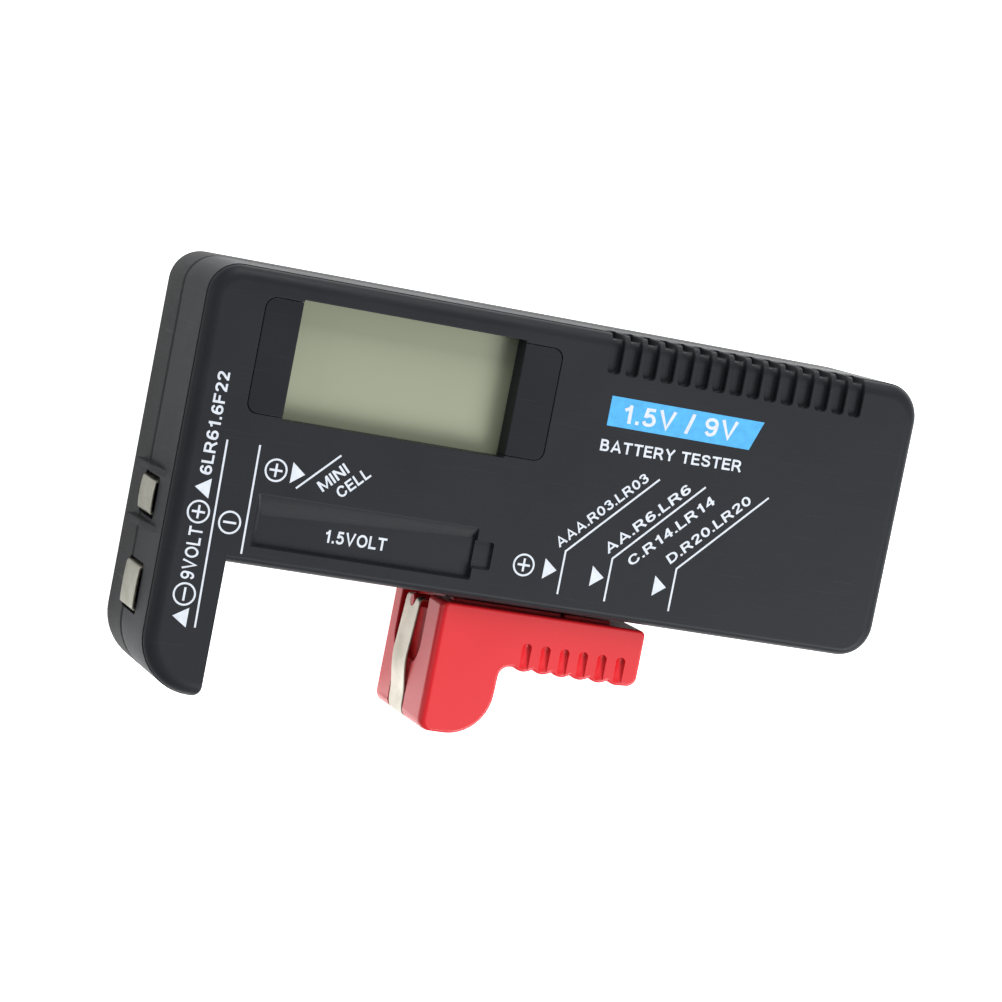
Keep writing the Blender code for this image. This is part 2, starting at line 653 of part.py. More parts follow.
def make_components(epoxy, ferrite, can, ceramic, dark):
    dome = [(5.0 * MM * math.sin(turn), 1.6 * MM * math.cos(turn))
            for turn in (math.pi / 2 * step / 5 for step in range(6))]
    flip = (math.pi, 0.0, 0.0)
    turned("ic_blob", [*dome, (0.0, 0.0)], on_board(14 * MM, -9 * MM), epoxy, flip)
    turned("boost_inductor", [(0, 5 * MM), (3.4 * MM, 5 * MM), (3.4 * MM, 4.2 * MM), (2.4 * MM, 4.2 * MM),
                              (2.4 * MM, 0.9 * MM), (3.4 * MM, 0.9 * MM), (3.4 * MM, 0), (0, 0)],
           on_board(28 * MM, -8.5 * MM), ferrite, flip)
    turned("filter_capacitor", [(0, 6.8 * MM), (2.3 * MM, 6.8 * MM), (2.5 * MM, 6.6 * MM), (2.5 * MM, 1.6 * MM),
                                (2.2 * MM, 1.3 * MM), (2.5 * MM, 1.0 * MM), (2.5 * MM, 0), (0, 0)],
           on_board(52.5 * MM, 13 * MM), can, flip)
    make_axial("load_resistor_low", on_board(27 * MM, 4.4 * MM), 9 * MM, 1.6 * MM, 2 * MM, ceramic)
    make_axial("load_resistor_high", on_board(42 * MM, 4.2 * MM), 6 * MM, 1.1 * MM, 2 * MM, ceramic)
    make_axial("supply_diode", on_board(40 * MM, 9.0 * MM), 4 * MM, 0.9 * MM, 2 * MM, dark)


# ---- contacts

def leaf_path(low, height, outside, inside):
    """The path of a hat-shaped leaf: a face outside the wall and a flange behind it at each end."""
    high, lean = low + height, LEAF_CORNER
    middle = (outside * 3 + inside) / 4
    return [Vector(point) for point in (
        (inside, low - LEAF_FLANGE), (inside, low + SHEET / 2), (middle, low + SHEET / 2 + lean / 4),
        (outside, low + lean), (outside, high - lean), (middle, high - SHEET / 2 - lean / 4),
        (inside, high - SHEET / 2), (inside, high + LEAF_FLANGE))]


def make_leaf(name, low, height, outside, inside, material):
    """A sprung leaf of bent sheet, wide across the case's depth. Its origin is the middle of its face."""
    outline = bent_sheet(leaf_path(low, height, outside, inside), SHEET)
    return slab(name, outline, LEAF_MID - LEAF_WIDTH / 2, LEAF_MID + LEAF_WIDTH / 2, material,
                origin=(outside, low + height / 2, LEAF_MID))


def make_case_contacts(nickel):
    behind = SIDE_WALL + GAP + SHEET / 2
    face = -SNAP_PROUD + SHEET / 2
    make_leaf("contact_9v_positive", POSITIVE_LOW, POSITIVE_HEIGHT, face, behind, nickel)
    make_leaf("contact_9v_negative", NEGATIVE_LOW, NEGATIVE_HEIGHT, face, behind, nickel)
    make_leaf("arm_contact", ARM_LEAF_LOW, ARM_LEAF_HEIGHT, ARM_WIDTH + ARM_LEAF_PROUD - SHEET / 2,
              ARM_WIDTH - behind, nickel)


def rail_low():
    """The rail's lower edge, just in front of the path of the retainer's screw."""
    return PARTING + SCREW_HEAD_RADIUS


def make_rail(nickel):
    block("contact_rail", (SLOT_LEFT, RAIL_FOOT, rail_low()),
          (CASE_LENGTH - SLOT_END_MARGIN - BOSS_RADIUS, RAIL_FOOT + RAIL_THICKNESS,
           rail_low() + RAIL_HEIGHT), nickel)


# ---- the slider

def slider_outline():
    right, nose = SLIDER_LEFT + SLIDER_LENGTH, SLIDER_LEFT + SLIDER_NOSE_LENGTH
    return rounded([
        (SLIDER_LEFT, -SLIDER_NOSE_DROP, 1.5 * MM),
        (nose, -SLIDER_NOSE_DROP, SLIDER_NOSE_CORNER),
        (nose + GAP, SLIDER_BAR_FOOT, 1.6 * MM),
        (right, SLIDER_BAR_FOOT, 1.5 * MM),
        (right, SLIDER_TOP, 0.5 * MM),
        (SLIDER_LEFT, SLIDER_TOP, 0.5 * MM),
    ])


def strip_path():
    """The slider's contact strip: curled in at the top, bowed out in the middle, hooked under the nose."""
    out = SLIDER_LEFT - STRIP_BOW + SHEET / 2
    rest = SLIDER_LEFT + SHEET / 2
    foot = -SLIDER_NOSE_DROP + SHEET / 2 + 0.1 * MM
    top = SLIDER_TOP - 1.4 * MM
    guide = [(rest + 1.0 * MM, top), (rest + 0.3 * MM, top - 0.2 * MM), (rest - 0.2 * MM, top - 1.4 * MM),
             (out + 0.4 * MM, top - 3.8 * MM), (out, (top + foot) / 2 + 0.6 * MM),
             (out + 0.3 * MM, (top + foot) / 2 - 2.4 * MM), (rest - 0.2 * MM, foot + 2.6 * MM),
             (rest, foot + 1.0 * MM), (rest + 0.5 * MM, foot + 0.1 * MM), (rest + 1.6 * MM, foot)]
    return [Vector(point) for point in guide]


def make_slider(red, nickel, steel, plastic):
    origin = (SLIDER_LEFT, SLIDER_TOP, PARTING)
    body = slab("slider_body", slider_outline(), SLIDER_BACK, SLIDER_FRONT, red, origin=origin)
    bevel = body.modifiers.new("ease", "BEVEL")
    bevel.width = SLIDER_EDGE
    bevel.segments = 2
    bevel.limit_method = "ANGLE"
    bevel.angle_limit = math.radians(50)
    join(body, block("neck", (NECK_LEFT, SLIDER_TOP - MM, PARTING - NECK_THICKNESS / 2),
                     (NECK_LEFT + NECK_LENGTH, NECK_TOP, PARTING + NECK_THICKNESS / 2)))
    cut(body, cylinder_along_y("neck_pilot", NECK_MID, PARTING, SLIDER_SCREW_RADIUS + GAP,
                               FOOT_TOP - SLIDER_SCREW_LENGTH - MM, NECK_TOP + MM))
    pocket_half = STRIP_GROOVE_WIDTH / 2
    cut(body, slab("strip_pocket", rounded([
        (STRIP_GROOVE_FOOT, STRIP_MID - pocket_half, pocket_half * 0.7),
        (SLIDER_TOP + MM, STRIP_MID - pocket_half, 0), (SLIDER_TOP + MM, STRIP_MID + pocket_half, 0),
        (STRIP_GROOVE_FOOT, STRIP_MID + pocket_half, pocket_half * 0.7)]),
        SLIDER_LEFT - MM, SLIDER_LEFT + STRIP_POCKET, axis="X"))
    half = STRIP_WIDTH / 2 + GAP
    cut(body, block("strip_channel", (SLIDER_LEFT - MM, -SLIDER_NOSE_DROP - MM, STRIP_MID - half),
                    (SLIDER_LEFT + STRIP_CHANNEL, SLIDER_TOP - MM, STRIP_MID + half)))
    cut(body, block("strip_hook", (SLIDER_LEFT, -SLIDER_NOSE_DROP - MM, STRIP_MID - half),
                    (SLIDER_LEFT + 1.6 * MM + SHEET + STRIP_TRAVEL + 3 * GAP,
                     -SLIDER_NOSE_DROP + SHEET + 2 * GAP, STRIP_MID + half)))
    left, foot = SLIDER_LEFT + GRIP_FIRST - GRIP_WIDTH / 2, SLIDER_BAR_FOOT
    grip = slab("grip_face", rounded([
        (left, foot - MM, 0), (left + GRIP_WIDTH, foot - MM, 0),
        (left + GRIP_WIDTH, foot + GRIP_HEIGHT, GRIP_WIDTH / 2 * 0.98),
        (left, foot + GRIP_HEIGHT, GRIP_WIDTH / 2 * 0.98)]), SLIDER_FRONT - GRIP_DEPTH, SLIDER_FRONT + MM)
    between = left - GRIP_PITCH / 2
    notch = block("grip_notch", (between, foot - MM, SLIDER_BACK - MM),
                  (between + GRIP_WIDTH, foot + GRIP_NOTCH, SLIDER_FRONT + MM))
    for cutter in (grip, notch):
        repeat(cutter, GRIP_COUNT, GRIP_PITCH)
        cut(body, cutter)
    slab("slider_contact", bent_sheet(strip_path(), SHEET), STRIP_MID - STRIP_WIDTH / 2,
         STRIP_MID + STRIP_WIDTH / 2, nickel, origin=(SLIDER_LEFT, SLIDER_TOP / 2, STRIP_MID))
    foot_plate = block("slider_retainer",
                       (NECK_LEFT - FOOT_OVERHANG, FOOT_LOW, PARTING - FOOT_WIDTH / 2),
                       (NECK_LEFT + NECK_LENGTH + FOOT_OVERHANG, FOOT_TOP, PARTING + FOOT_WIDTH / 2),
                       plastic, origin=origin)
    cut(foot_plate, cylinder_along_y("retainer_hole", NECK_MID, PARTING, SLIDER_SCREW_RADIUS + GAP,
                                     FOOT_LOW - MM, FOOT_TOP + MM))
    wiper_low = rail_low() + GAP
    rise = RAIL_FOOT - GAP - SHEET / 2
    rest = FOOT_TOP + GAP + SHEET / 2
    wiper = [Vector(point) for point in (
        (NECK_LEFT - MM, rest), (NECK_LEFT + 2 * MM, rest), (NECK_LEFT + 4 * MM, (rise + rest) / 2),
        (NECK_LEFT + 5.5 * MM, rise), (NECK_LEFT + 6.5 * MM, rise - 0.2 * MM))]
    slab("slider_wiper", bent_sheet(wiper[::-1], SHEET * 0.75), wiper_low, PARTING + FOOT_WIDTH / 2, nickel,
         origin=origin)
    make_screw("slider_screw", Vector((NECK_MID, FOOT_TOP + GAP, PARTING)), SLIDER_SCREW_RADIUS,
               SCREW_HEAD_RADIUS * 0.75, SCREW_HEAD_HEIGHT * 0.8, SLIDER_SCREW_LENGTH, steel,
               (-math.pi / 2, 0.0, 0.0))


def cylinder_along_y(name, x, z, radius, low, high):
    """A cutter for a round hole up the face of the case."""
    shape = bmesh.new()
    bmesh.ops.create_cone(shape, cap_ends=True, segments=TURN_STEPS, radius1=radius, radius2=radius,
                          depth=high - low)
    place = Matrix.Translation((x, (low + high) / 2, z)) @ Matrix.Rotation(math.pi / 2, 4, "X")
    bmesh.ops.transform(shape, matrix=place, verts=shape.verts)
    mesh = bpy.data.meshes.new(name)
    shape.to_mesh(mesh)
    shape.free()
    return add_object(name, mesh)


# ---- screws and wires

def make_screw(name, seat, radius, head_radius, head_height, length, steel, turn=None):
    """A pan-head screw whose head stands on its seat and whose shank runs down from it."""
    turned(name, [(0.0, head_height), (head_radius * 0.7, head_height), (head_radius, head_height * 0.5),
                  (head_radius, 0.0), (radius, 0.0), (radius, -length + radius), (radius * 0.4, -length),
                  (0.0, -length)], seat, steel, turn)


def make_fasteners(steel):
    over = (math.pi, 0.0, 0.0)
    for number, (x, y) in enumerate(case_bosses(), start=1):
        make_screw(f"case_screw_{number}", Vector((x, y, SCREW_SINK + SCREW_HEAD_HEIGHT)), SCREW_RADIUS,
                   SCREW_HEAD_RADIUS, SCREW_HEAD_HEIGHT, CASE_SCREW_LENGTH, steel, over)
    for number, (x, y) in enumerate(pcb_bosses(), start=1):
        make_screw(f"pcb_screw_{number}", Vector((x, y, PCB_BACK - GAP)), SCREW_RADIUS,
                   SCREW_HEAD_RADIUS, SCREW_HEAD_HEIGHT, PCB_SCREW_LENGTH, steel, over)


def make_wire(name, start, through, end, material):
    """A lead from a contact to a pad under the board."""
    tube(name, smooth_route([Vector(point) for point in (start, *through)] + [end]), WIRE_RADIUS, material)


def make_wires(red, black):
    inside = SIDE_WALL + GAP + SHEET / 2 + WIRE_RADIUS
    drop = 2.5 * MM
    positive_top = POSITIVE_LOW + POSITIVE_HEIGHT + LEAF_FLANGE + GAP
    negative_top = NEGATIVE_LOW + NEGATIVE_HEIGHT + LEAF_FLANGE + GAP
    arm_top = ARM_LEAF_LOW + ARM_LEAF_HEIGHT + LEAF_FLANGE + GAP
    pad = [on_board(2.5 * MM, 3 * MM * step + 2.5 * MM) for step in range(3)]
    make_wire("wire_9v_positive", (inside, positive_top, LEAF_MID),
              [(inside + 0.4 * MM, positive_top + 2.4 * MM, LEAF_MID - MM),
               (pad[2].x - 3 * MM, pad[2].y + 0.5 * MM, pad[2].z - drop), pad[2] - Vector((0.4 * MM, 0, 1.6 * MM))],
              pad[2], red)
    make_wire("wire_9v_negative", (inside, negative_top, LEAF_MID - 2 * MM),
              [(inside + 1.6 * MM, negative_top + 3 * MM, LEAF_MID - 3.4 * MM),
               (inside + 2.2 * MM, positive_top - 3 * MM, LEAF_MID - 3.6 * MM),
               (pad[1].x - 4 * MM, pad[1].y - 0.4 * MM, pad[1].z - drop - MM),
               pad[1] - Vector((0.4 * MM, 0, 1.6 * MM))], pad[1], black)
    make_wire("wire_arm", (ARM_WIDTH - inside, arm_top, LEAF_MID),
              [(ARM_WIDTH - inside, ARM_LENGTH + SIDE_WALL + MM, LEAF_MID - 0.6 * MM),
               (pad[0].x - 3.4 * MM, pad[0].y - 1.4 * MM, pad[0].z - drop), pad[0] - Vector((0.4 * MM, 0, 1.6 * MM))],
              pad[0], black)
    rail_end = Vector((SLOT_LEFT + 2 * MM, RAIL_FOOT + RAIL_THICKNESS + GAP + WIRE_RADIUS, rail_low() + MM))
    rail_pad = on_board(SLOT_LEFT + 4 * MM - PCB_LEFT, 1.5 * MM)
    make_wire("wire_rail", rail_end, [rail_end + Vector((0.8 * MM, 0.3 * MM, -1.4 * MM)),
                                      rail_pad + Vector((-0.4 * MM, -0.2 * MM, -1.5 * MM))], rail_pad, red)


def main():
    clear_scene()
    make_corner_empty()
    black = make_material("black_case", (0.022, 0.023, 0.027), 0.5)
    red = make_material("red_slider", (0.72, 0.02, 0.02), 0.38)
    nickel = make_material("nickel", (0.76, 0.72, 0.64), 0.28, 1.0)
    steel = make_material("steel", (0.5, 0.5, 0.52), 0.35, 1.0)
    glass = make_material("display_glass", (0.36, 0.39, 0.28), 0.15)
    foil = make_material("reflector", (0.7, 0.72, 0.66), 0.3, 0.5)
    grey = make_material("grey_rubber", (0.3, 0.3, 0.32), 0.8)
    green = make_material("board", (0.03, 0.2, 0.07), 0.45)
    dark = make_material("dark_epoxy", (0.01, 0.01, 0.01), 0.6)
    tan = make_material("resistor", (0.55, 0.45, 0.3), 0.6)
    insulation_red = make_material("wire_red", (0.6, 0.02, 0.02), 0.5)
    insulation_black = make_material("wire_black", (0.015, 0.015, 0.015), 0.5)
    make_front_shell(black)
    make_rear_shell(black)
    make_display(black, glass, foil, grey)
    make_board(green)
    make_components(dark, dark, dark, tan, dark)
    make_case_contacts(nickel)
    make_rail(nickel)
    make_slider(red, nickel, steel, black)
    make_fasteners(steel)
    make_wires(insulation_red, insulation_black)


main()
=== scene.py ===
import math
from functools import partial

import bmesh
import bpy
from mathutils import Matrix, Vector


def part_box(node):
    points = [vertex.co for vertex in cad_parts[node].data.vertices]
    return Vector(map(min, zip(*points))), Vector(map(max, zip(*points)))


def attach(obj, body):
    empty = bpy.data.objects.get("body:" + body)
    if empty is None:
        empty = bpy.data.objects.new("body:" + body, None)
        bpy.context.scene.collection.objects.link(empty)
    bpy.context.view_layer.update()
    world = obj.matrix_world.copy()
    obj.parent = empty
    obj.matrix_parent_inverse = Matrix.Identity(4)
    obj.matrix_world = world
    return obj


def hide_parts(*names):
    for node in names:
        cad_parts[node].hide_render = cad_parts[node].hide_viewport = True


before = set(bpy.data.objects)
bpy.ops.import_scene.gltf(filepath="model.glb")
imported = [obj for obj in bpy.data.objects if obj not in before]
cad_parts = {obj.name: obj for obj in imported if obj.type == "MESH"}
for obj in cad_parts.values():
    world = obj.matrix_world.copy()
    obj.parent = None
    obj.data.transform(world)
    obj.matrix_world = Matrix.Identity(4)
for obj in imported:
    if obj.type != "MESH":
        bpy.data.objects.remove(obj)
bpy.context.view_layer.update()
mm = 0.001

# The case's own corner: its left wall, the tip of its arm and its back
caseSize = {"length": 108.0, "height": 59.4, "depth": 24.47, "armWidth": 9.45, "armLength": 19.0}
shellLow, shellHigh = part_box("front_shell")
caseLeft = shellHigh.x - caseSize["length"] * mm
caseFoot = shellLow.y


def at(u, v, z):
    return Vector((caseLeft + u * mm, caseFoot + v * mm, z * mm))


def lift(points, z):
    return [at(x, y, z) for x, y in points]


# Points of an outline with corners (x, y) left sharp or (x, y, radius) rounded
def outline(corners, steps=8):
    points = []
    for i, corner in enumerate(corners):
        here = Vector(corner[:2])
        if len(corner) == 2:
            points.append(here)
            continue
        back = (Vector(corners[i - 1][:2]) - here).normalized()
        ahead = (Vector(corners[(i + 1) % len(corners)][:2]) - here).normalized()
        half = back.angle(ahead) / 2
        centre = here + (back + ahead).normalized() * corner[2] / math.sin(half)
        start = here + back * corner[2] / math.tan(half) - centre
        turn = start.angle_signed(here + ahead * corner[2] / math.tan(half) - centre)
        points += [centre + Matrix.Rotation(-turn * s / steps, 2) @ start for s in range(steps + 1)]
    return points


def rectangle(left, foot, right, top, radius, grow=0.0, steps=8):
    r = max(radius + grow, 0.05)
    return outline([(left - grow, foot - grow, r), (right + grow, foot - grow, r),
                    (right + grow, top + grow, r), (left - grow, top + grow, r)], steps)


def circle(x, y, radius, steps=32):
    return [Vector((x + radius * math.cos(a), y + radius * math.sin(a))) for a in wholeTurn(steps)]


# Moves each point of a closed outline in by a distance
def shrink(points, distance):
    area = sum(a.x * b.y - b.x * a.y for a, b in zip(points, points[1:] + points[:1]))
    side = 1 if area > 0 else -1
    moved = []
    for i, here in enumerate(points):
        back = (here - points[i - 1]).normalized()
        ahead = (points[(i + 1) % len(points)] - here).normalized()
        inward = Vector((-back.y - ahead.y, back.x + ahead.x)).normalized() * side
        moved.append(here + inward * distance / max(math.cos(back.angle(ahead) / 2), 0.5))
    return moved


# Points along a smooth line through a few guides
def smoothLine(guides, steps=6):
    ends = [guides[0] * 2 - guides[1], *guides, guides[-1] * 2 - guides[-2]]
    line = []
    for a, b, c, d in zip(ends, ends[1:], ends[2:], ends[3:]):
        for s in range(steps):
            t = s / steps
            line.append(0.5 * (2 * b + (c - a) * t + (2 * a - 5 * b + 4 * c - d) * t * t
                               + (3 * b - a - 3 * c + d) * t ** 3))
    return [*line, guides[-1]]


def quarter(steps):
    return [math.pi / 2 * s / steps for s in range(steps + 1)]


def wholeTurn(steps):
    return [2 * math.pi * s / steps for s in range(steps)]


# Skins a row of rings and closes both ends
def loft(rings, shape=None):
    shape = shape or bmesh.new()
    rows = [[shape.verts.new(p) for p in ring] for ring in rings]
    count = len(rows[0])
    for low, high in zip(rows, rows[1:]):
        for i in range(count):
            j = (i + 1) % count
            shape.faces.new((low[i], low[j], high[j], high[i]))
    shape.faces.new(rows[0][::-1])
    shape.faces.new(rows[-1])
    return shape


def addShape(name, shape):
    bmesh.ops.recalc_face_normals(shape, faces=shape.faces)
    mesh = bpy.data.meshes.new(name)
    shape.to_mesh(mesh)
    shape.free()
    made = bpy.data.objects.new(name, mesh)
    bpy.context.scene.collection.objects.link(made)
    return made


# A plan in two directions, carried straight along the case's length ("u") or up its face ("v")
def prism(name, plan, axis, low, high):
    rings = [[at(w, p.x, p.y) if axis == "u" else at(p.x, w, p.y) for p in plan] for w in (low, high)]
    return addShape(name, loft(rings))


# Turns modifiers into the mesh itself
def settle(piece):
    graph = bpy.context.evaluated_depsgraph_get()
    mesh = bpy.data.meshes.new_from_object(piece.evaluated_get(graph))
    piece.modifiers.clear()
    piece.data = mesh


def carve(piece, *others, how="DIFFERENCE"):
    for other in others:
        step = piece.modifiers.new(other.name, "BOOLEAN")
        step.operation = how
        step.object = other
        step.solver = "EXACT"
    settle(piece)
    for other in others:
        bpy.data.objects.remove(other)


axisTurns = {"-Z": Matrix.Rotation(math.pi, 4, "X"), "Y": Matrix.Rotation(-math.pi / 2, 4, "X"),
             "-X": Matrix.Rotation(-math.pi / 2, 4, "Y")}


# A lathe-turned shape: (radius, height) from its top centre round to its lower centre
def turned(profile, place, axis, segments=40):
    shape = loft([[Vector((r * math.cos(a), r * math.sin(a), h)) for a in wholeTurn(segments)]
                  for r, h in profile])
    scale = Matrix.Diagonal((mm, mm, mm, 1.0))
    bmesh.ops.transform(shape, matrix=Matrix.Translation(place) @ axisTurns[axis] @ scale, verts=shape.verts)
    return shape


# A bent strip of sheet: its line runs in the face's plane and its width runs from back to front
def ribbon(line, low, high, thickness, chamfer=0.08):
    half = thickness / 2
    flat = half - chamfer
    corners = [(-half, low + chamfer), (-flat, low), (flat, low), (half, low + chamfer),
               (half, high - chamfer), (flat, high), (-flat, high), (-half, high - chamfer)]
    rings = []
    for i, here in enumerate(line):
        along = line[min(i + 1, len(line) - 1)] - line[max(i - 1, 0)]
        side = Vector((along.y, -along.x)).normalized()
        rings.append([at(here.x + side.x * across, here.y + side.y * across, z) for across, z in corners])
    return loft(rings)


# Smooth shading with creases, even normals on big flats, then its finish, its body and hiding the parts it
# replaces
def finishPiece(piece, body, material, stands=(), crease=32, soften=0.0):
    if soften:
        bevel = piece.modifiers.new("soften", "BEVEL")
        bevel.width = soften * mm
        bevel.segments = 2
        bevel.limit_method = "ANGLE"
        bevel.angle_limit = math.radians(crease)
        settle(piece)
    shape = bmesh.new()
    shape.from_mesh(piece.data)
    bmesh.ops.dissolve_degenerate(shape, dist=0.001 * mm, edges=shape.edges)
    for edge in shape.edges:
        edge.smooth = len(edge.link_faces) == 2 and edge.calc_face_angle(0) < math.radians(crease)
    for face in shape.faces:
        face.smooth = True
    shape.to_mesh(piece.data)
    shape.free()
    even = piece.modifiers.new("evenNormals", "WEIGHTED_NORMAL")
    even.keep_sharp = True
    even.weight = 80
    if material:
        piece.data.materials.clear()
        piece.data.materials.append(material)
    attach(piece, body)
    if stands:
        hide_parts(*stands)
    return piece


# Node groups that several finishes share
def newGroup(name, inputs, outputs):
    group = bpy.data.node_groups.new(name, "ShaderNodeTree")
    for label, value in inputs.items():
        socket = group.interface.new_socket(label, in_out="INPUT", socket_type="NodeSocketFloat")
        socket.default_value = value
    for label in outputs:
        group.interface.new_socket(label, in_out="OUTPUT", socket_type="NodeSocketFloat")
    return group, group.nodes.new("NodeGroupInput"), group.nodes.new("NodeGroupOutput")


def addNode(tree, kind, settings=None, **links):
    node = tree.nodes.new(kind)
    for name, value in (settings or {}).items():
        if hasattr(node, name):
            setattr(node, name, value)
        else:
            node.inputs[name].default_value = value
    for name, source in links.items():
        tree.links.new(source, node.inputs[name.replace("_", " ")])
    return node


def mathNode(tree, operation, first, second, third=None):
    node = tree.nodes.new("ShaderNodeMath")
    node.operation = operation
    for socket, value in zip(node.inputs, (first, second, third)):
        if isinstance(value, bpy.types.NodeSocket):
            tree.links.new(value, socket)
        elif value is not None:
            socket.default_value = value
    return node.outputs[0]


def spread(tree, value, low, high, newLow=0.0, newHigh=1.0):
    node = tree.nodes.new("ShaderNodeMapRange")
    tree.links.new(value, node.inputs["Value"])
    for label, number in zip(("From Min", "From Max", "To Min", "To Max"), (low, high, newLow, newHigh)):
        node.inputs[label].default_value = number
    return node.outputs[0]


# The fine spark-eroded texture of a moulding, with slow changes of gloss across it
def makeMouldGrain():
    group, given, out = newGroup("mouldGrain", {"Grain": 5000.0, "Drift": 60.0},
                                 ("Height", "Patches", "Specks"))
    place = addNode(group, "ShaderNodeTexCoord").outputs["Object"]
    fine = addNode(group, "ShaderNodeTexNoise", {"Detail": 3.0, "Roughness": 0.6}, Vector=place,
                   Scale=given.outputs["Grain"])
    cells = addNode(group, "ShaderNodeTexVoronoi", {"feature": "SMOOTH_F1"}, Vector=place,
                    Scale=given.outputs["Grain"])
    slow = addNode(group, "ShaderNodeTexNoise", {"Detail": 4.0, "Roughness": 0.55}, Vector=place,
                   Scale=given.outputs["Drift"])
    specks = addNode(group, "ShaderNodeTexVoronoi", {"Scale": 620.0, "Randomness": 1.0}, Vector=place)
    height = mathNode(group, "MULTIPLY_ADD", cells.outputs["Distance"], 0.5, fine.outputs[0])
    group.links.new(height, out.inputs["Height"])
    group.links.new(spread(group, slow.outputs[0], 0.3, 0.7), out.inputs["Patches"])
    group.links.new(spread(group, specks.outputs["Distance"], 0.05, 0.03), out.inputs["Specks"])
    return group


# Short hairline rubs, where hands and cells have passed over a surface
def makeRubs():
    group, given, out = newGroup("rubs", {"Scale": 90.0, "Amount": 0.5}, ("Mask",))
    place = addNode(group, "ShaderNodeTexCoord").outputs["Object"]
    total = None
    for turn, stretch in ((0.5, 26.0), (1.25, 34.0), (2.4, 30.0)):
        settings = {"Rotation": (0.0, 0.0, turn), "Scale": (1.0, stretch, 1.0)}
        rotated = addNode(group, "ShaderNodeMapping", settings, Vector=place)
        lines = addNode(group, "ShaderNodeTexNoise", {"Detail": 1.0}, Vector=rotated.outputs[0],
                        Scale=given.outputs["Scale"])
        sharp = spread(group, lines.outputs[0], 0.7, 0.78)
        total = sharp if total is None else mathNode(group, "MAXIMUM", total, sharp)
    group.links.new(mathNode(group, "MULTIPLY", total, given.outputs["Amount"]), out.inputs["Mask"])
    return group


mouldGrain = makeMouldGrain()
rubs = makeRubs()


def addGroup(tree, group, **values):
    node = tree.nodes.new("ShaderNodeGroup")
    node.node_tree = group
    for label, value in values.items():
        node.inputs[label].default_value = value
    return node.outputs


def mixColour(tree, factor, first, second):
    node = tree.nodes.new("ShaderNodeMix")
    node.data_type = "RGBA"
    for socket, value in ((node.inputs[0], factor), (node.inputs[6], first), (node.inputs[7], second)):
        if isinstance(value, bpy.types.NodeSocket):
            tree.links.new(value, socket)
        else:
            socket.default_value = value if isinstance(value, float) else (*value, 1.0)
    return node.outputs[2]


def startMaterial(name, **constants):
    material = bpy.data.materials.new(name)
    material.use_nodes = True
    tree = material.node_tree
    shader = tree.nodes["Principled BSDF"]
    for label, value in constants.items():
        shader.inputs[label.replace("_", " ")].default_value = value
    return material, tree, shader


def addBump(tree, shader, height, depth, strength=1.0):
    bump = addNode(tree, "ShaderNodeBump", {"Strength": strength, "Distance": depth * mm}, Height=height)
    tree.links.new(bump.outputs[0], shader.inputs["Normal"])


def varyGloss(tree, shader, moulded, low, high):
    tree.links.new(spread(tree, moulded["Patches"], 0.0, 1.0, low, high), shader.inputs["Roughness"])


# A moulded plastic: two close colours, a range of roughness and a grain
def plastic(name, dark, light, roughness, grain=5200.0, depth=0.012, rubbed=0.25, specks=0.1, **constants):
    material, tree, shader = startMaterial(name, **constants)
    moulded = addGroup(tree, mouldGrain, Grain=grain)
    worn = addGroup(tree, rubs, Amount=rubbed)["Mask"]
    colour = mixColour(tree, moulded["Patches"], dark, light)
    paler = tuple(min(1.0, c * 1.8 + 0.02) for c in light)
    marks = mathNode(tree, "MAXIMUM", mathNode(tree, "MULTIPLY", moulded["Specks"], specks), worn)
    colour = mixColour(tree, mathNode(tree, "MULTIPLY", marks, 0.35), colour, paler)
    tree.links.new(colour, shader.inputs["Base Color"])
    gloss = spread(tree, moulded["Patches"], 0.0, 1.0, roughness[0], roughness[1])
    tree.links.new(mathNode(tree, "MULTIPLY_ADD", worn, -0.12, gloss), shader.inputs["Roughness"])
    addBump(tree, shader, moulded["Height"], depth)
    return material


# A metal: patches of duller tarnish, fine lines from rolling, and rubs
def metal(name, bright, dull, roughness, lines=(1.0, 1.0, 40.0), depth=0.006, rubbed=0.4, **constants):
    material, tree, shader = startMaterial(name, Metallic=1.0, **constants)
    moulded = addGroup(tree, mouldGrain, Grain=1500.0, Drift=260.0)
    worn = addGroup(tree, rubs, Amount=rubbed, Scale=160.0)["Mask"]
    place = addNode(tree, "ShaderNodeTexCoord").outputs["Object"]
    drawn = addNode(tree, "ShaderNodeMapping", {"Scale": lines}, Vector=place)
    rolled = addNode(tree, "ShaderNodeTexNoise", {"Scale": 420.0, "Detail": 3.0}, Vector=drawn.outputs[0])
    colour = mixColour(tree, moulded["Patches"], bright, dull)
    tree.links.new(mixColour(tree, worn, colour, tuple(c * 0.6 for c in dull)), shader.inputs["Base Color"])
    gloss = spread(tree, moulded["Patches"], 0.0, 1.0, roughness[0], roughness[1])
    tree.links.new(mathNode(tree, "MULTIPLY_ADD", rolled.outputs[0], 0.12, gloss), shader.inputs["Roughness"])
    addBump(tree, shader, rolled.outputs[0], depth)
    return material


# Screen-printed ink, a little thin in places
def ink(name, colour):
    material, tree, shader = startMaterial(name)
    moulded = addGroup(tree, mouldGrain, Grain=6500.0, Drift=900.0)
    thin = tuple(c * 0.82 for c in colour)
    tree.links.new(mixColour(tree, moulded["Patches"], colour, thin), shader.inputs["Base Color"])
    varyGloss(tree, shader, moulded, 0.42, 0.58)
    addBump(tree, shader, moulded["Height"], 0.006)
    return material


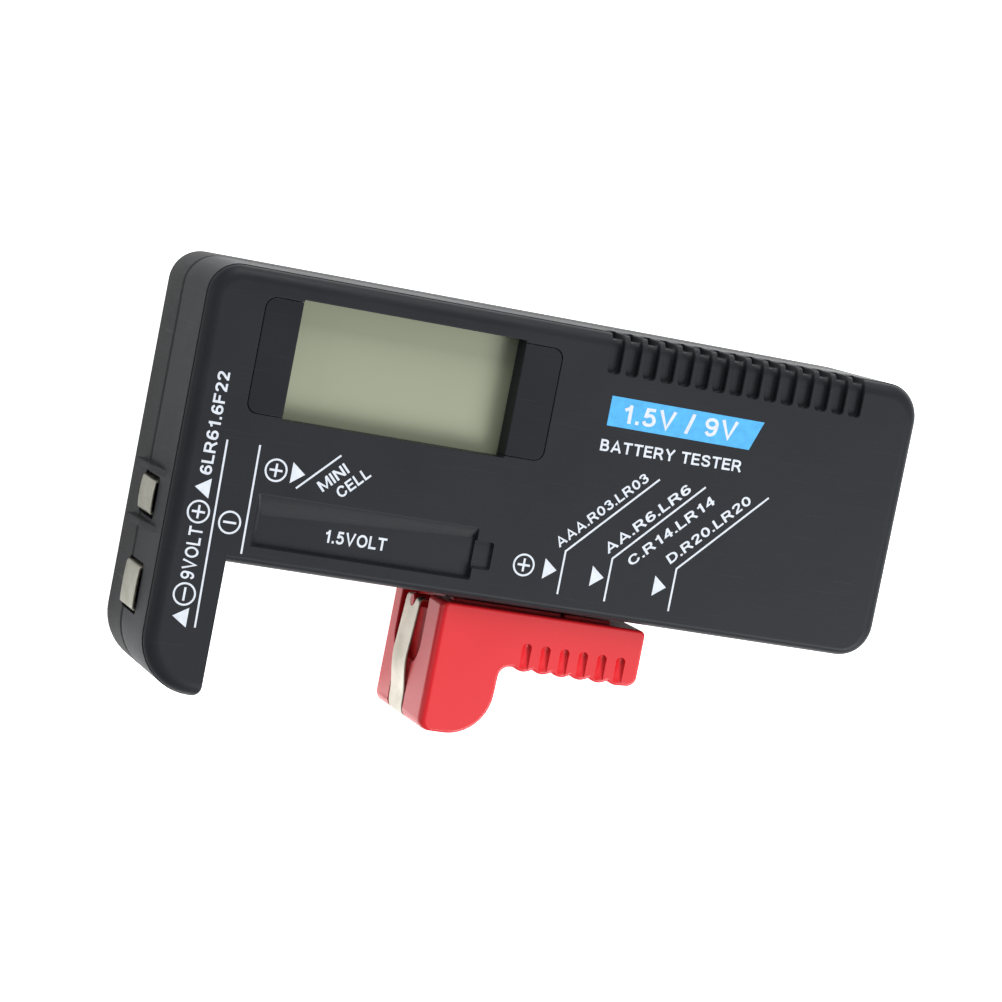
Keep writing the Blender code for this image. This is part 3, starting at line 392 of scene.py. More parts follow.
casePlastic = plastic("casePlastic", (0.0150, 0.0165, 0.0200), (0.0185, 0.0200, 0.0240), (0.42, 0.5),
                      Specular_IOR_Level=0.16)
backPlastic = plastic("backPlastic", (0.022, 0.023, 0.024), (0.029, 0.030, 0.031), (0.55, 0.64), grain=3600.0,
                      depth=0.045, rubbed=0.5, specks=0.5, Specular_IOR_Level=0.3)
bezelPlastic = plastic("bezelPlastic", (0.0135, 0.0150, 0.0185), (0.0165, 0.0180, 0.0220), (0.38, 0.46),
                       depth=0.006, rubbed=0.4, Specular_IOR_Level=0.12)
sliderPlastic = plastic("sliderPlastic", (0.64, 0.012, 0.018), (0.70, 0.016, 0.024), (0.36, 0.44),
                        depth=0.006, Specular_IOR_Level=0.35, Coat_Weight=0.25, Coat_Roughness=0.12)
holderPlastic = plastic("holderPlastic", (0.62, 0.61, 0.57), (0.70, 0.69, 0.65), (0.45, 0.55))
rubber = plastic("zebraRubber", (0.22, 0.22, 0.24), (0.36, 0.36, 0.39), (0.6, 0.75))
epoxy = plastic("pottingEpoxy", (0.006, 0.006, 0.006), (0.013, 0.012, 0.012), (0.22, 0.4), grain=900.0,
                depth=0.05)
ferrite = plastic("ferriteCore", (0.022, 0.020, 0.020), (0.040, 0.037, 0.036), (0.5, 0.65), grain=2400.0,
                  depth=0.04)
canSleeve = plastic("canSleeve", (0.010, 0.014, 0.045), (0.016, 0.022, 0.065), (0.25, 0.35), depth=0.006)
ceramic = plastic("resistorCement", (0.50, 0.44, 0.34), (0.60, 0.54, 0.43), (0.6, 0.75), grain=2600.0,
                  depth=0.03)
redWire = plastic("redInsulation", (0.50, 0.014, 0.014), (0.58, 0.020, 0.018), (0.38, 0.48), depth=0.006)
blackWire = plastic("blackInsulation", (0.010, 0.010, 0.011), (0.016, 0.016, 0.017), (0.38, 0.48),
                    depth=0.006)
nickel = metal("contactNickel", (0.56, 0.55, 0.47), (0.44, 0.43, 0.35), (0.26, 0.38), lines=(1.0, 1.0, 30.0))
steel = metal("screwSteel", (0.52, 0.52, 0.54), (0.40, 0.40, 0.41), (0.22, 0.34))
foil = metal("reflectorFoil", (0.78, 0.79, 0.74), (0.70, 0.71, 0.66), (0.2, 0.3))
whiteInk = ink("whiteInk", (0.72, 0.77, 0.84))
blueInk = ink("blueInk", (0.065, 0.44, 0.84))


# The circuit board: lacquer over copper tracks that show as paler bands
def makeBoardLacquer():
    material, tree, shader = startMaterial("boardLacquer", Coat_Weight=0.4, Coat_Roughness=0.2)
    place = addNode(tree, "ShaderNodeTexCoord").outputs["Object"]
    tracks = addNode(tree, "ShaderNodeTexBrick", {"Scale": 150.0, "Mortar Size": 0.12, "Bias": 0.0},
                     Vector=place)
    for label, colour in (("Color1", (0.010, 0.10, 0.035)), ("Color2", (0.014, 0.12, 0.045)),
                          ("Mortar", (0.035, 0.22, 0.085))):
        tracks.inputs[label].default_value = (*colour, 1.0)
    moulded = addGroup(tree, mouldGrain, Grain=2600.0, Drift=200.0)
    shade = mixColour(tree, mathNode(tree, "MULTIPLY", moulded["Patches"], 0.25), tracks.outputs["Color"],
                      (0.02, 0.14, 0.06))
    tree.links.new(shade, shader.inputs["Base Color"])
    varyGloss(tree, shader, moulded, 0.3, 0.42)
    addBump(tree, shader, tracks.outputs["Fac"], 0.03)
    return material


# The display's polariser: grey-green, with a faint cloudiness; its weave of fine lines is not drawn
def makePolariser():
    material, tree, shader = startMaterial("polariser", Coat_Weight=0.35, Coat_Roughness=0.12)
    moulded = addGroup(tree, mouldGrain, Grain=2400.0, Drift=34.0)
    cloudy = mixColour(tree, moulded["Patches"], (0.30, 0.325, 0.225), (0.275, 0.30, 0.205))
    tree.links.new(cloudy, shader.inputs["Base Color"])
    varyGloss(tree, shader, moulded, 0.34, 0.42)
    addBump(tree, shader, moulded["Height"], 0.004)
    return material


boardLacquer = makeBoardLacquer()
polariser = makePolariser()
glassEdge = plastic("glassEdge", (0.13, 0.17, 0.13), (0.17, 0.21, 0.17), (0.1, 0.18), depth=0.004, rubbed=0.1)
print("finishes made")


# The two shells, lofted from one L-shaped outline
shellShape = {"wall": 1.8, "frontWall": 2.0, "backWall": 1.8, "parting": 9.9, "gap": 0.15, "ditch": 0.32,
              "edgeWidth": 2.15, "edgeDepth": 1.45, "edgeStep": 0.13, "backEdge": 1.3, "lipRise": 1.1,
              "lipReach": 1.1}


# Insets of the six sides are shares of one inset: arm tip, arm's inner side, lower edge, right, top, left
evenSides = (1.0, 1.0, 1.0, 1.0, 1.0, 1.0)
easedSides = (1.0, 0.1, 0.55, 1.0, 1.0, 1.0)


def caseRing(inset, z, sides=evenSides):
    tip, inner, lower, right, top, left = (inset * share for share in sides)
    armEnd = caseSize["armWidth"] - inner
    tipRadius = max(1.0 - inset * 0.5, 0.25)
    return lift(outline([
        (left, tip, min(8.0 - inset * 0.8, armEnd - left - tipRadius - 0.1)), (armEnd, tip, tipRadius),
        (armEnd, caseSize["armLength"] + lower),
        (caseSize["length"] - right, caseSize["armLength"] + lower, 5.0 - inset * 0.8),
        (caseSize["length"] - right, caseSize["height"] - top, 5.0 - inset * 0.8),
        (left, caseSize["height"] - top, 4.5 - inset * 0.8)], 12), z)


def frontSkin():
    s = shellShape
    rim, crease = s["parting"] + s["gap"], caseSize["depth"] - s["edgeDepth"]
    inside = caseSize["depth"] - s["frontWall"]
    rings = [caseRing(s["wall"], inside), caseRing(s["wall"], rim + s["lipRise"]),
             caseRing(s["lipReach"], rim + s["lipRise"]), caseRing(s["lipReach"], rim),
             caseRing(s["ditch"], rim), caseRing(0.06, rim + s["ditch"]),
             caseRing(0.0, rim + s["ditch"] * 1.6), caseRing(0.0, crease - 0.12),
             caseRing(0.03, crease - 0.03, easedSides),
             caseRing(s["edgeStep"], crease, easedSides)]
    for a in quarter(9)[1:]:
        rings.append(caseRing(s["edgeStep"] + (s["edgeWidth"] - s["edgeStep"]) * (1 - math.cos(a)),
                              crease + s["edgeDepth"] * math.sin(a), easedSides))
    return loft(rings)


def rearSkin():
    s = shellShape
    rim, edge = s["parting"] - s["gap"], s["backEdge"]
    rings = [caseRing(s["wall"], s["backWall"]), caseRing(s["wall"], rim + s["lipRise"] - 0.1),
             caseRing(s["lipReach"] + 0.1, rim + s["lipRise"] - 0.1), caseRing(s["lipReach"] + 0.1, rim),
             caseRing(s["ditch"], rim), caseRing(0.06, rim - s["ditch"]),
             caseRing(0.0, rim - s["ditch"] * 1.6)]
    for a in quarter(7):
        rings.append(caseRing(edge * (1 - math.cos(a)), edge * (1 - math.sin(a)), easedSides))
    return loft(rings)


# A cutter for a hollow in a face: filleted at its floor and eased at its mouth
def hollow(name, grown, floor, face, fillet=0.3, mouth=0.2, steps=4):
    way = 1 if face > floor else -1
    rings = [lift(grown(-fillet * (1 - math.sin(a))), floor + way * fillet * (1 - math.cos(a)))
             for a in quarter(steps)] if fillet else [lift(grown(0), floor)]
    rings += [lift(grown(mouth * (1 - math.cos(a))), face - way * mouth * (1 - math.sin(a)))
              for a in quarter(steps)]
    rings.append(lift(grown(mouth + 0.4), face + way * 0.6))
    return addShape(name, loft(rings))


boxes = {name: tuple((corner - Vector((caseLeft, caseFoot, 0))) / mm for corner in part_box(name))
         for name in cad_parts}


windowShape = {"short": 0.55, "wider": 0.4,
               "spans": {"contact_9v_positive": (-3.0, 2.1), "contact_9v_negative": (-3.0, 2.1),
                         "arm_contact": (7.3, 10.6)}}


def leafWindows():
    short, wider = windowShape["short"], windowShape["wider"]
    cutters = []
    for name, (left, right) in windowShape["spans"].items():
        low, high = boxes[name]
        plan = rectangle(low.y + short, low.z - wider, high.y - short, high.z + wider, 0.4, steps=4)
        cutters.append(prism(name + "Window", plan, "u", left, right))
    return cutters


# The grooves that start on the face and run over the top edge
ventShape = {"count": 15, "first": 59.6, "pitch": 2.707, "width": 1.85, "depth": 1.0, "foot": 53.65,
             "corner": 0.6, "topRun": 5.0, "flare": 0.12, "floorRound": 0.3}


def ventCutter():
    v = ventShape
    faceZ, top = caseSize["depth"], caseSize["height"]
    reach, drop = shellShape["edgeWidth"], shellShape["edgeDepth"]
    path = [(v["foot"] + v["corner"] * (1 - math.cos(a)), faceZ, 0.0, 1.0, v["corner"] * (1 - math.sin(a)))
            for a in quarter(4)]
    path += [(top - reach * (1 - math.sin(a)), faceZ - drop * (1 - math.cos(a)), math.sin(a), math.cos(a),
              0.0) for a in quarter(8)]
    path.append((top, faceZ - v["topRun"], 1.0, 0.0, 0.0))
    shape = bmesh.new()
    for number in range(v["count"]):
        middle = v["first"] + v["pitch"] * number
        rings = []
        for along, z, upward, outward, narrower in path:
            half = v["width"] / 2 - narrower
            f, r, d = v["flare"], v["floorRound"], v["depth"]
            side = [(half + f + 0.5, 0.5), (half + f, 0.0), (half + f * 0.3, -0.07), (half, -0.2),
                    (half, r - d), (half - r * 0.3, r * 0.3 - d), (half - r, -d)]
            section = [(-x, h) for x, h in side] + side[::-1]
            rings.append([at(middle + x, along + upward * h, z + outward * h) for x, h in section])
        loft(rings, shape)
    return addShape("ventCutter", shape)


# The recess for a cell's outline, with a sloping upper side and left end, and its shallow tab
recessShape = {"left": 12.1, "right": 44.4, "foot": 21.8, "top": 29.2, "depth": 1.0, "foldLeft": 26.1,
               "foldRight": 27.8, "leftRun": 0.9, "tabRight": 47.0, "tabFoot": 23.5, "tabTop": 27.4,
               "tabDepth": 0.55}


def recessCutters():
    r, face = recessShape, caseSize["depth"]
    floor = [(r["left"] + r["leftRun"], r["foot"] + 0.15, 0.3), (r["right"] - 0.1, r["foot"] + 0.15, 0.3),
             (r["right"] - 0.1, r["foldRight"], 0.3), (r["left"] + r["leftRun"], r["foldLeft"], 0.3)]
    mouth = [(r["left"], r["foot"], 0.3), (r["right"], r["foot"], 0.3), (r["right"], r["top"], 0.3),
             (r["left"], r["top"], 0.3)]
    between = [tuple(a * 0.08 + b * 0.92 for a, b in zip(low, high)) for low, high in zip(floor, mouth)]
    rings = [lift(outline(floor, 5), face - r["depth"]), lift(outline(between, 5), face - 0.1),
             lift(shrink(outline(mouth, 5), -0.06), face), lift(shrink(outline(mouth, 5), -0.5), face + 0.5)]
    recess = addShape("recessCutter", loft(rings))
    plan = partial(rectangle, r["right"] - 0.3, r["tabFoot"], r["tabRight"], r["tabTop"], 0.35, steps=5)
    tab = hollow("tabCutter", plan, face - r["tabDepth"], face, 0.15, 0.08)
    return recess, tab


# The display's window and its two wings
displayShape = {"left": 13.4, "right": 45.95, "foot": 39.45, "top": 56.1, "wingLeft": 8.1, "wingRight": 51.7,
                "wingFoot": 39.75, "wingTop": 55.8, "wingCorner": 1.5, "seam": 0.06, "corner": 0.25}


def displayCutters():
    d, face = displayShape, caseSize["depth"]
    inside = caseSize["depth"] - shellShape["frontWall"] - 0.6
    window = partial(rectangle, d["left"], d["foot"], d["right"], d["top"], d["corner"], steps=4)
    wings = partial(rectangle, d["wingLeft"], d["wingFoot"], d["wingRight"], d["wingTop"], d["wingCorner"])
    return (hollow("windowCutter", window, inside, face, 0.0, 0.16),
            hollow("wingCutter", wings, inside, face, 0.0, 0.12))


# The slot that the slider's neck runs in
neckShape = {"half": 1.8, "left": 50.0, "right": 66.0, "top": 20.95}
slotShape = {"left": 20.5, "right": 101.0, "low": 17.5, "high": 21.2, "gap": 0.35, "corner": 1.2}


def slotCutter():
    t = slotShape
    half = neckShape["half"] + t["gap"]
    middle = shellShape["parting"]
    plan = rectangle(t["left"], middle - half, t["right"], middle + half, t["corner"], steps=6)
    return prism("slotCutter", plan, "v", t["low"], t["high"])


caseScrews = ((4.0, 55.4), (104.0, 55.4), (104.0, 27.6), (4.9, 4.9))
screwShape = {"sink": 2.2, "boss": 2.9, "well": 2.35, "bore": 1.2, "frontBoss": 2.5}


def makeFrontShell():
    shell = addShape("frontShell", frontSkin())
    rim = shellShape["parting"] + shellShape["gap"]
    inside = caseSize["depth"] - shellShape["frontWall"]
    bosses, bores = bmesh.new(), bmesh.new()
    for u, v in caseScrews:
        loft([lift(circle(u, v, screwShape["frontBoss"]), z) for z in (rim, inside + 0.3)], bosses)
        loft([lift(circle(u, v, screwShape["bore"] - 0.2), z) for z in (rim - 1, inside - 1.5)], bores)
    carve(shell, addShape("frontBosses", bosses), how="UNION")
    carve(shell, addShape("frontBores", bores))
    carve(shell, *displayCutters())
    carve(shell, *recessCutters())
    carve(shell, ventCutter())
    carve(shell, *leafWindows(), slotCutter())
    return finishPiece(shell, "case", casePlastic, ["front_shell"], crease=38)


# The two guard flaps beside the positive contact, thin and a little domed
finShape = {"thickness": 0.85, "proud": 1.5, "rear": 6.45, "front": 20.0, "levels": (21.475, 29.325)}


def finPieces():
    f = finShape
    plan = outline([(1.0, f["rear"]), (1.0, 9.2), (0.05, 9.9), (0.05, f["front"]),
                    (-f["proud"] * 0.82, f["front"] - 5.0, 5.0), (-f["proud"], f["rear"] + 1.4, 6.0),
                    (-f["proud"], f["rear"], 1.3), ], 8)
    shape = bmesh.new()
    half = f["thickness"] / 2
    for level in f["levels"]:
        rings = []
        for inset, across in ((0.22, -half), (0.06, -half + 0.06), (0.0, -half + 0.2), (0.0, half - 0.2),
                              (0.06, half - 0.06), (0.22, half)):
            rings.append([at(max(p.x, -f["proud"]) + inset * (p.x < 0), level + across, p.y) for p in plan])
        loft(rings, shape)
    return addShape("guardFlaps", shape)


def makeRearShell():
    shell = addShape("rearShell", rearSkin())
    rim = shellShape["parting"] - shellShape["gap"]
    bosses, wells = bmesh.new(), bmesh.new()
    for u, v in caseScrews:
        loft([lift(circle(u, v, screwShape["boss"]), z) for z in (shellShape["backWall"] - 0.4, rim)], bosses)
        well, deep = screwShape["well"], screwShape["sink"] + 1.6
        rings = [lift(circle(u, v, screwShape["bore"]), z) for z in (rim + 1, deep)]
        rings += [lift(circle(u, v, well), deep)]
        rings += [lift(circle(u, v, well + 0.25 * (1 - math.cos(a))), 0.25 * (1 - math.sin(a)))
                  for a in quarter(4)]
        rings.append(lift(circle(u, v, well + 0.8), -0.6))
        loft(rings, wells)
    carve(shell, addShape("rearBosses", bosses), how="UNION")
    carve(shell, addShape("screwWells", wells))
    carve(shell, finPieces(), how="UNION")
    carve(shell, *leafWindows(), slotCutter())
    return finishPiece(shell, "case", backPlastic, ["rear_shell"], crease=38)


makeFrontShell()
makeRearShell()
print("shells made")


def makeBezel():
    d, face = displayShape, caseSize["depth"] - 0.01
    low, high = boxes["display_bezel"]
    seam, ease = d["seam"], 0.14
    plan = partial(rectangle, d["wingLeft"] + seam, d["wingFoot"] + seam, d["wingRight"] - seam,
                   d["wingTop"] - seam, d["wingCorner"])
    window = partial(rectangle, d["left"], d["foot"] - 0.02, d["right"], d["top"] + 0.02, d["corner"],
                     steps=4)
    rings = [lift(plan(0), low.z), lift(plan(0), face - ease)]
    rings += [lift(plan(-ease * (1 - math.cos(a))), face - ease * (1 - math.sin(a))) for a in quarter(4)]
    bezel = addShape("displayBezel", loft(rings))
    flange = addShape("bezelFlange", loft([lift(rectangle(low.x, low.y, high.x, high.y, 0.4, steps=4), z)
                                           for z in (low.z, low.z + 0.9)]))
    carve(bezel, flange, how="UNION")
    carve(bezel, hollow("bezelWindow", window, low.z - 0.5, face, 0.0, 0.16))
    return finishPiece(bezel, "case", bezelPlastic, ["display_bezel"], crease=38)


# Glass with a polariser sheet laid on its front, a little short of the edges
def makeGlass():
    low, high = boxes["lcd_glass"]
    levels = [(-0.1, low.z), (0, low.z + 0.1), (0, high.z - 0.35), (-0.1, high.z - 0.25),
              (-0.5, high.z - 0.25), (-0.5, high.z - 0.05), (-0.55, high.z)]
    rings = [lift(rectangle(low.x, low.y, high.x, high.y, 0.3, grow, 4), z) for grow, z in levels]
    glass = addShape("displayGlass", loft(rings))
    finishPiece(glass, "case", glassEdge, ["lcd_glass"])
    glass.data.materials.append(polariser)
    for face in glass.data.polygons:
        face.material_index = int(face.center.z > (high.z - 0.24) * mm)
    return glass


makeBezel()
makeGlass()


# Sprung leaves: a bowed face outside the wall, curling in at both ends to a flange behind it
leafShape = {"thickness": 0.4, "bow": 0.07}


def makeLeaf(name, node, body, outward):
    low, high = boxes[node]
    t = leafShape["thickness"]
    face = (low.x + t / 2 + 0.02) if outward < 0 else (high.x - t / 2 - 0.02)
    behind = (high.x - t / 2) if outward < 0 else (low.x + t / 2)
    foot, top = low.y + 1.0, high.y - 1.0
    flat = face - outward * leafShape["bow"]
    guides = [(behind, low.y), (behind, foot - 0.3), (behind + outward * 0.25, foot + t * 0.35),
              (behind + (flat - behind) * 0.55, foot + t * 0.6), (flat - outward * 0.2, foot + t * 0.7),
              (flat, foot + 0.75), (face, (foot + top) / 2), (flat, top - 0.75),
              (flat - outward * 0.2, top - t * 0.7), (behind + (flat - behind) * 0.55, top - t * 0.6),
              (behind + outward * 0.25, top - t * 0.35), (behind, top + 0.3), (behind, high.y - 0.3)]
    line = smoothLine([Vector(g) for g in guides], 5)
    leaf = addShape(name, ribbon(line, low.z, high.z, t))
    return finishPiece(leaf, body, nickel, [node], crease=50)


makeLeaf("positiveContact", "contact_9v_positive", "positive_leaf", -1)
makeLeaf("negativeContact", "contact_9v_negative", "negative_leaf", -1)
makeLeaf("armContact", "arm_contact", "arm_leaf", 1)
print("display and case contacts made")


# The sliding cell holder
sliderShape = {"left": 42.0, "right": 73.4, "top": 18.0, "barFoot": 9.6, "noseFoot": -0.6, "noseRight": 52.2,
               "back": 0.5, "front": 22.0, "edge": 0.45, "leftEdge": 1.1, "backEdge": 0.9, "bumpFirst": 55.9,
               "bumpPitch": 2.9, "bumps": 6, "bumpRise": 0.48}


def sliderPlan():
    s = sliderShape
    start = outline([(s["left"], s["top"], 0.9), (s["left"], s["noseFoot"], 1.6),
                     (s["noseRight"], s["noseFoot"], 6.5),
                     (s["noseRight"] + 0.3, s["barFoot"] + s["bumpRise"], 1.6),
                     (s["right"], s["barFoot"] + 0.06, 1.5), (s["right"], s["top"], 0.9)], 12)
    inCorner = [p for p in start if p.x < s["bumpFirst"] - s["bumpPitch"] / 2 or p.x > s["right"] - 1.6]
    split = next(i for i, p in enumerate(inCorner) if p.x > s["right"] - 1.6)
    bumps = []
    for n in range(s["bumps"]):
        middle = s["bumpFirst"] + s["bumpPitch"] * n
        last = n == s["bumps"] - 1
        for step in range(9):
            t = -1 + 2 * step / 8
            if last and t > 0.05:
                continue
            bumps.append(Vector((middle + t * s["bumpPitch"] / 2 * 0.985,
                                 s["barFoot"] + s["bumpRise"] * t * t)))
    return inCorner[:split] + bumps + inCorner[split:]


def sliderRing(plan, inset, leftInset, z):
    points = shrink(plan, inset) if inset else plan
    left = sliderShape["left"]
    extra = leftInset - inset
    return [at(p.x + extra * max(0.0, 1 - (p.x - left) / 7.5) ** 2, p.y, z) for p in points]


def sliderSkin():
    s, plan = sliderShape, sliderPlan()
    rings = []
    for a in quarter(5):
        inset = s["backEdge"] * (1 - math.sin(a))
        rings.append(sliderRing(plan, inset, inset, s["back"] + s["backEdge"] * (1 - math.cos(a))))
    for a in quarter(14):
        z = s["front"] - s["leftEdge"] * (1 - math.sin(a))
        rise = s["edge"] - (s["front"] - z)
        inset = s["edge"] - math.sqrt(s["edge"] ** 2 - rise ** 2) if rise > 0 else 0
        rings.append(sliderRing(plan, inset, s["leftEdge"] * (1 - math.cos(a)), z))
    return loft(rings)


# Finger grooves on the front, deepest at their rounded tops and fading out over the bumps
gripShape = {"top": 13.75, "foot": 10.15, "width": 1.3, "depth": 0.62}


def gripCutter(number):
    g, s = gripShape, sliderShape
    half, middle = g["width"] / 2, s["bumpFirst"] + s["bumpPitch"] * number
    stops = [(g["top"] - half * (1 - math.cos(a)), half * math.sin(a) + 0.02, 1.0) for a in quarter(5)]
    stops += [(g["foot"] + (g["top"] - half - g["foot"]) * k, half, 0.25 + 0.75 * k)
              for k in (0.75, 0.5, 0.25, 0.0)]
    stops.append((g["foot"] - 0.4, half, -0.35))
    rings = []
    for v, h, share in stops:
        d = g["depth"] * share
        section = [(-h - 0.6, 0.7), (-h - 0.3, 0.25), (-h, -0.15 * d), (-h * 0.5, -d * 0.75), (0.15 * h, -d),
                   (h * 0.7, -d), (h * 0.96, -d * 0.8), (h, -0.15 * d), (h + 0.05, 0.25), (h + 0.3, 0.7)]
        rings.append([at(middle + x, v, s["front"] + up) for x, up in section])
    return addShape("gripCutter", loft(rings))


# The deep groove behind the contact strip, and the channel below it that runs under the nose
grooveShape = {"middle": 10.2, "half": 6.0, "foot": 7.2, "depth": 2.4, "channelHalf": 3.55,
               "channelDepth": 1.7, "hookReach": 4.6, "hookRise": 1.0}


def sideHollow(name, plan, depth, mouth=0.25):
    left = sliderShape["left"]
    rings = [[at(left + depth, p.x, p.y) for p in plan]]
    for a in quarter(4):
        wider = shrink(plan, -mouth * (1 - math.cos(a)))
        rings.append([at(left + mouth * (1 - math.sin(a)), p.x, p.y) for p in wider])
    rings.append([at(left - 0.8, p.x, p.y) for p in shrink(plan, -mouth - 0.3)])
    return addShape(name, loft(rings))


def strapCutters():
    g, s = grooveShape, sliderShape
    low, high = g["middle"] - g["half"], g["middle"] + g["half"]
    deep = outline([(g["foot"], low, 4.0), (s["top"] + 1.5, low, 0.2), (s["top"] + 1.5, high, 0.2),
                    (g["foot"], high, 4.0)], 8)
    low, high = g["middle"] - g["channelHalf"], g["middle"] + g["channelHalf"]
    channel = rectangle(s["noseFoot"] - 1.5, low, s["top"] - 1.0, high, 0.3, steps=4)
    hook = prism("hookCutter",
                 rectangle(s["noseFoot"] - 1.0, low, s["noseFoot"] + g["hookRise"], high, 0.2, steps=4),
                 "u", s["left"] - 0.5, s["left"] + g["hookReach"] - 0.75)
    return (sideHollow("grooveCutter", deep, g["depth"]),
            sideHollow("channelCutter", channel, g["channelDepth"], 0.12), hook)


def blockShape(low, high, radius=0.3):
    ring = rectangle(low[0], low[1], high[0], high[1], radius, steps=4)
    e = min(radius * 0.7, 0.3)
    levels = [(e, low[2]), (e * 0.3, low[2] + e * 0.3), (0, low[2] + e), (0, high[2] - e),
              (e * 0.3, high[2] - e * 0.3), (e, high[2])]
    return loft([lift(shrink(ring, inset * 0.99) if inset else ring, z) for inset, z in levels])


# The rib along the top comes in two lengths, and the pin holds the strip's upper end
ribShape = {"spans": ((44.5, 60.85), (61.45, 68.6)), "proud": 0.42, "low": 7.9, "high": 9.9}
pinShape = {"inward": 2.2, "height": 16.1, "radius": 1.0, "length": 2.6}


def makeSlider():
    s, n, middle = sliderShape, neckShape, shellShape["parting"]
    body = addShape("sliderBody", sliderSkin())
    neck = blockShape((n["left"], s["top"] - 1.0, middle - n["half"]),
                      (n["right"], n["top"], middle + n["half"]), 0.35)
    carve(body, addShape("sliderNeck", neck), how="UNION")
    for left, right in ribShape["spans"]:
        rib = blockShape((left, s["top"] - 0.8, middle + ribShape["low"]),
                         (right, s["top"] + ribShape["proud"], middle + ribShape["high"]), 0.3)
        carve(body, addShape("sliderRib", rib), how="UNION")
    carve(body, *strapCutters())
    for number in range(s["bumps"]):
        carve(body, gripCutter(number))
    carve(body, prism("pilotCutter", circle((n["left"] + n["right"]) / 2, middle, 0.95), "v", 16.5, 22.0))
    radius, length = pinShape["radius"], pinShape["length"]
    pin = turned([(0.01, length), (radius - 0.25, length), (radius, length - 0.25), (radius, 0.0), (0.01, 0.0)],
                 at(s["left"] + pinShape["inward"], pinShape["height"], grooveShape["middle"]), "-X", 28)
    carve(body, addShape("stripPin", pin), how="UNION")
    return finishPiece(body, "slider", sliderPlastic, ["slider_body"], crease=36)


stripShape = {"thickness": 0.4, "punchHeight": 16.4, "punchRadius": 1.25}


def makeStrip():
    low, high = boxes["slider_contact"]
    s, t = sliderShape, stripShape["thickness"]
    out, rest = low.x + t / 2, s["left"] + t / 2
    foot, top = low.y + t / 2, high.y - t / 2
    middle = (top + foot) / 2
    guides = [(rest + 0.7, top), (rest + 0.1, top - 0.04), (rest - 0.25, top - 0.5), (rest - 0.38, top - 2.5),
              (out + 0.6, middle + 2.4), (out + 0.45, middle), (out + 0.6, middle - 2.0),
              (rest - 0.12, foot + 3.4), (rest, foot + 1.2), (rest + 0.5, foot + 0.15), (rest + 1.6, foot)]
    strip = addShape("sliderContact", ribbon(smoothLine([Vector(g) for g in guides], 6), low.z, high.z, t))
    punch = circle(stripShape["punchHeight"], grooveShape["middle"], stripShape["punchRadius"])
    carve(strip, prism("stripPunch", punch, "u", s["left"] - 2.0, s["left"] + 4.0))
    return finishPiece(strip, "slider_leaf", nickel, ["slider_contact"], crease=50)


makeSlider()
makeStrip()
print("slider made")


# Screw heads with a cross recess, on a threaded shank
def makeScrew(name, node, axis, headRadius, shankRadius, headHeight, body):
    low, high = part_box(node)
    middle = (low + high) / 2
    along = {"-Z": Vector((middle.x, middle.y, low.z)), "Y": Vector((middle.x, high.y, middle.z))}[axis]
    size = high - low
    length = (size.z if axis == "-Z" else size.y) / mm
    profile = [(0.01, -0.02), (headRadius * 0.45, -0.04), (headRadius * 0.75, -0.14),
               (headRadius * 0.94, -0.36), (headRadius, -0.62), (headRadius, -headHeight),
               (shankRadius, -headHeight)]
    turns = int((length - headHeight - 0.8) / 0.55)
    for n in range(turns):
        h = -headHeight - 0.2 - n * 0.55
        profile += [(shankRadius * 0.78, h), (shankRadius, h - 0.2), (shankRadius, h - 0.26)]
    profile += [(shankRadius * 0.7, -length + 0.5), (0.01, -length + 0.02)]
    screw = addShape(name, turned(profile, along, axis))
    for turn in (0.35, 0.35 + math.pi / 2):
        bar = bmesh.new()
        arm, half, deep = headRadius * 0.62, headRadius * 0.13, headHeight * 0.55
        for h, k in ((-deep, 0.7), (0.4, 1.05)):
            for x, y in ((-arm, -half), (arm, -half), (arm, half), (-arm, half)):
                bar.verts.new((x * k, y * k, h))
        bmesh.ops.convex_hull(bar, input=bar.verts)
        place = (Matrix.Translation(along) @ axisTurns[axis] @ Matrix.Rotation(turn, 4, "Z")
                 @ Matrix.Diagonal((mm, mm, mm, 1)))
        bmesh.ops.transform(bar, matrix=place, verts=bar.verts)
        carve(screw, addShape(name + "Drive", bar))
    return finishPiece(screw, body, steel, [node], crease=40)


for number in range(1, 5):
    makeScrew(f"caseScrew{number}", f"case_screw_{number}", "-Z", 2.0, 1.0, 1.3, "case")
for number in range(1, 3):
    makeScrew(f"boardScrew{number}", f"pcb_screw_{number}", "-Z", 2.0, 1.0, 1.3, "case")
makeScrew("sliderScrew", "slider_screw", "Y", 1.5, 0.8, 1.04, "slider")


def makeBlock(name, node, body, material, radius=0.3):
    low, high = boxes[node]
    return finishPiece(addShape(name, blockShape(low, high, radius)), body, material, [node])


makeBlock("contactRail", "contact_rail", "case", nickel, 0.12)


def makeRetainer():
    low, high = boxes["slider_retainer"]
    plate = addShape("sliderRetainer", blockShape(low, high, 0.5))
    hole = circle((low.x + high.x) / 2, (low.z + high.z) / 2, 1.05)
    carve(plate, prism("retainerBore", hole, "v", low.y - 1, high.y + 1))
    return finishPiece(plate, "slider", casePlastic, ["slider_retainer"])


makeRetainer()

# The parts that stay as they are, with their own finishes
carried = {"lcd_reflector": foil, "lcd_holder": holderPlastic, "zebra_strip": rubber, "main_pcb": boardLacquer,
           "ic_blob": epoxy, "boost_inductor": ferrite, "filter_capacitor": canSleeve,
           "load_resistor_low": ceramic, "load_resistor_high": ceramic, "supply_diode": epoxy,
           "slider_wiper": nickel, "wire_9v_positive": redWire, "wire_9v_negative": blackWire,
           "wire_arm": blackWire, "wire_rail": redWire}
for name, material in carried.items():
    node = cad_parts[name]
    node.data.materials.clear()
    node.data.materials.append(material)
print("fasteners and inner parts finished")


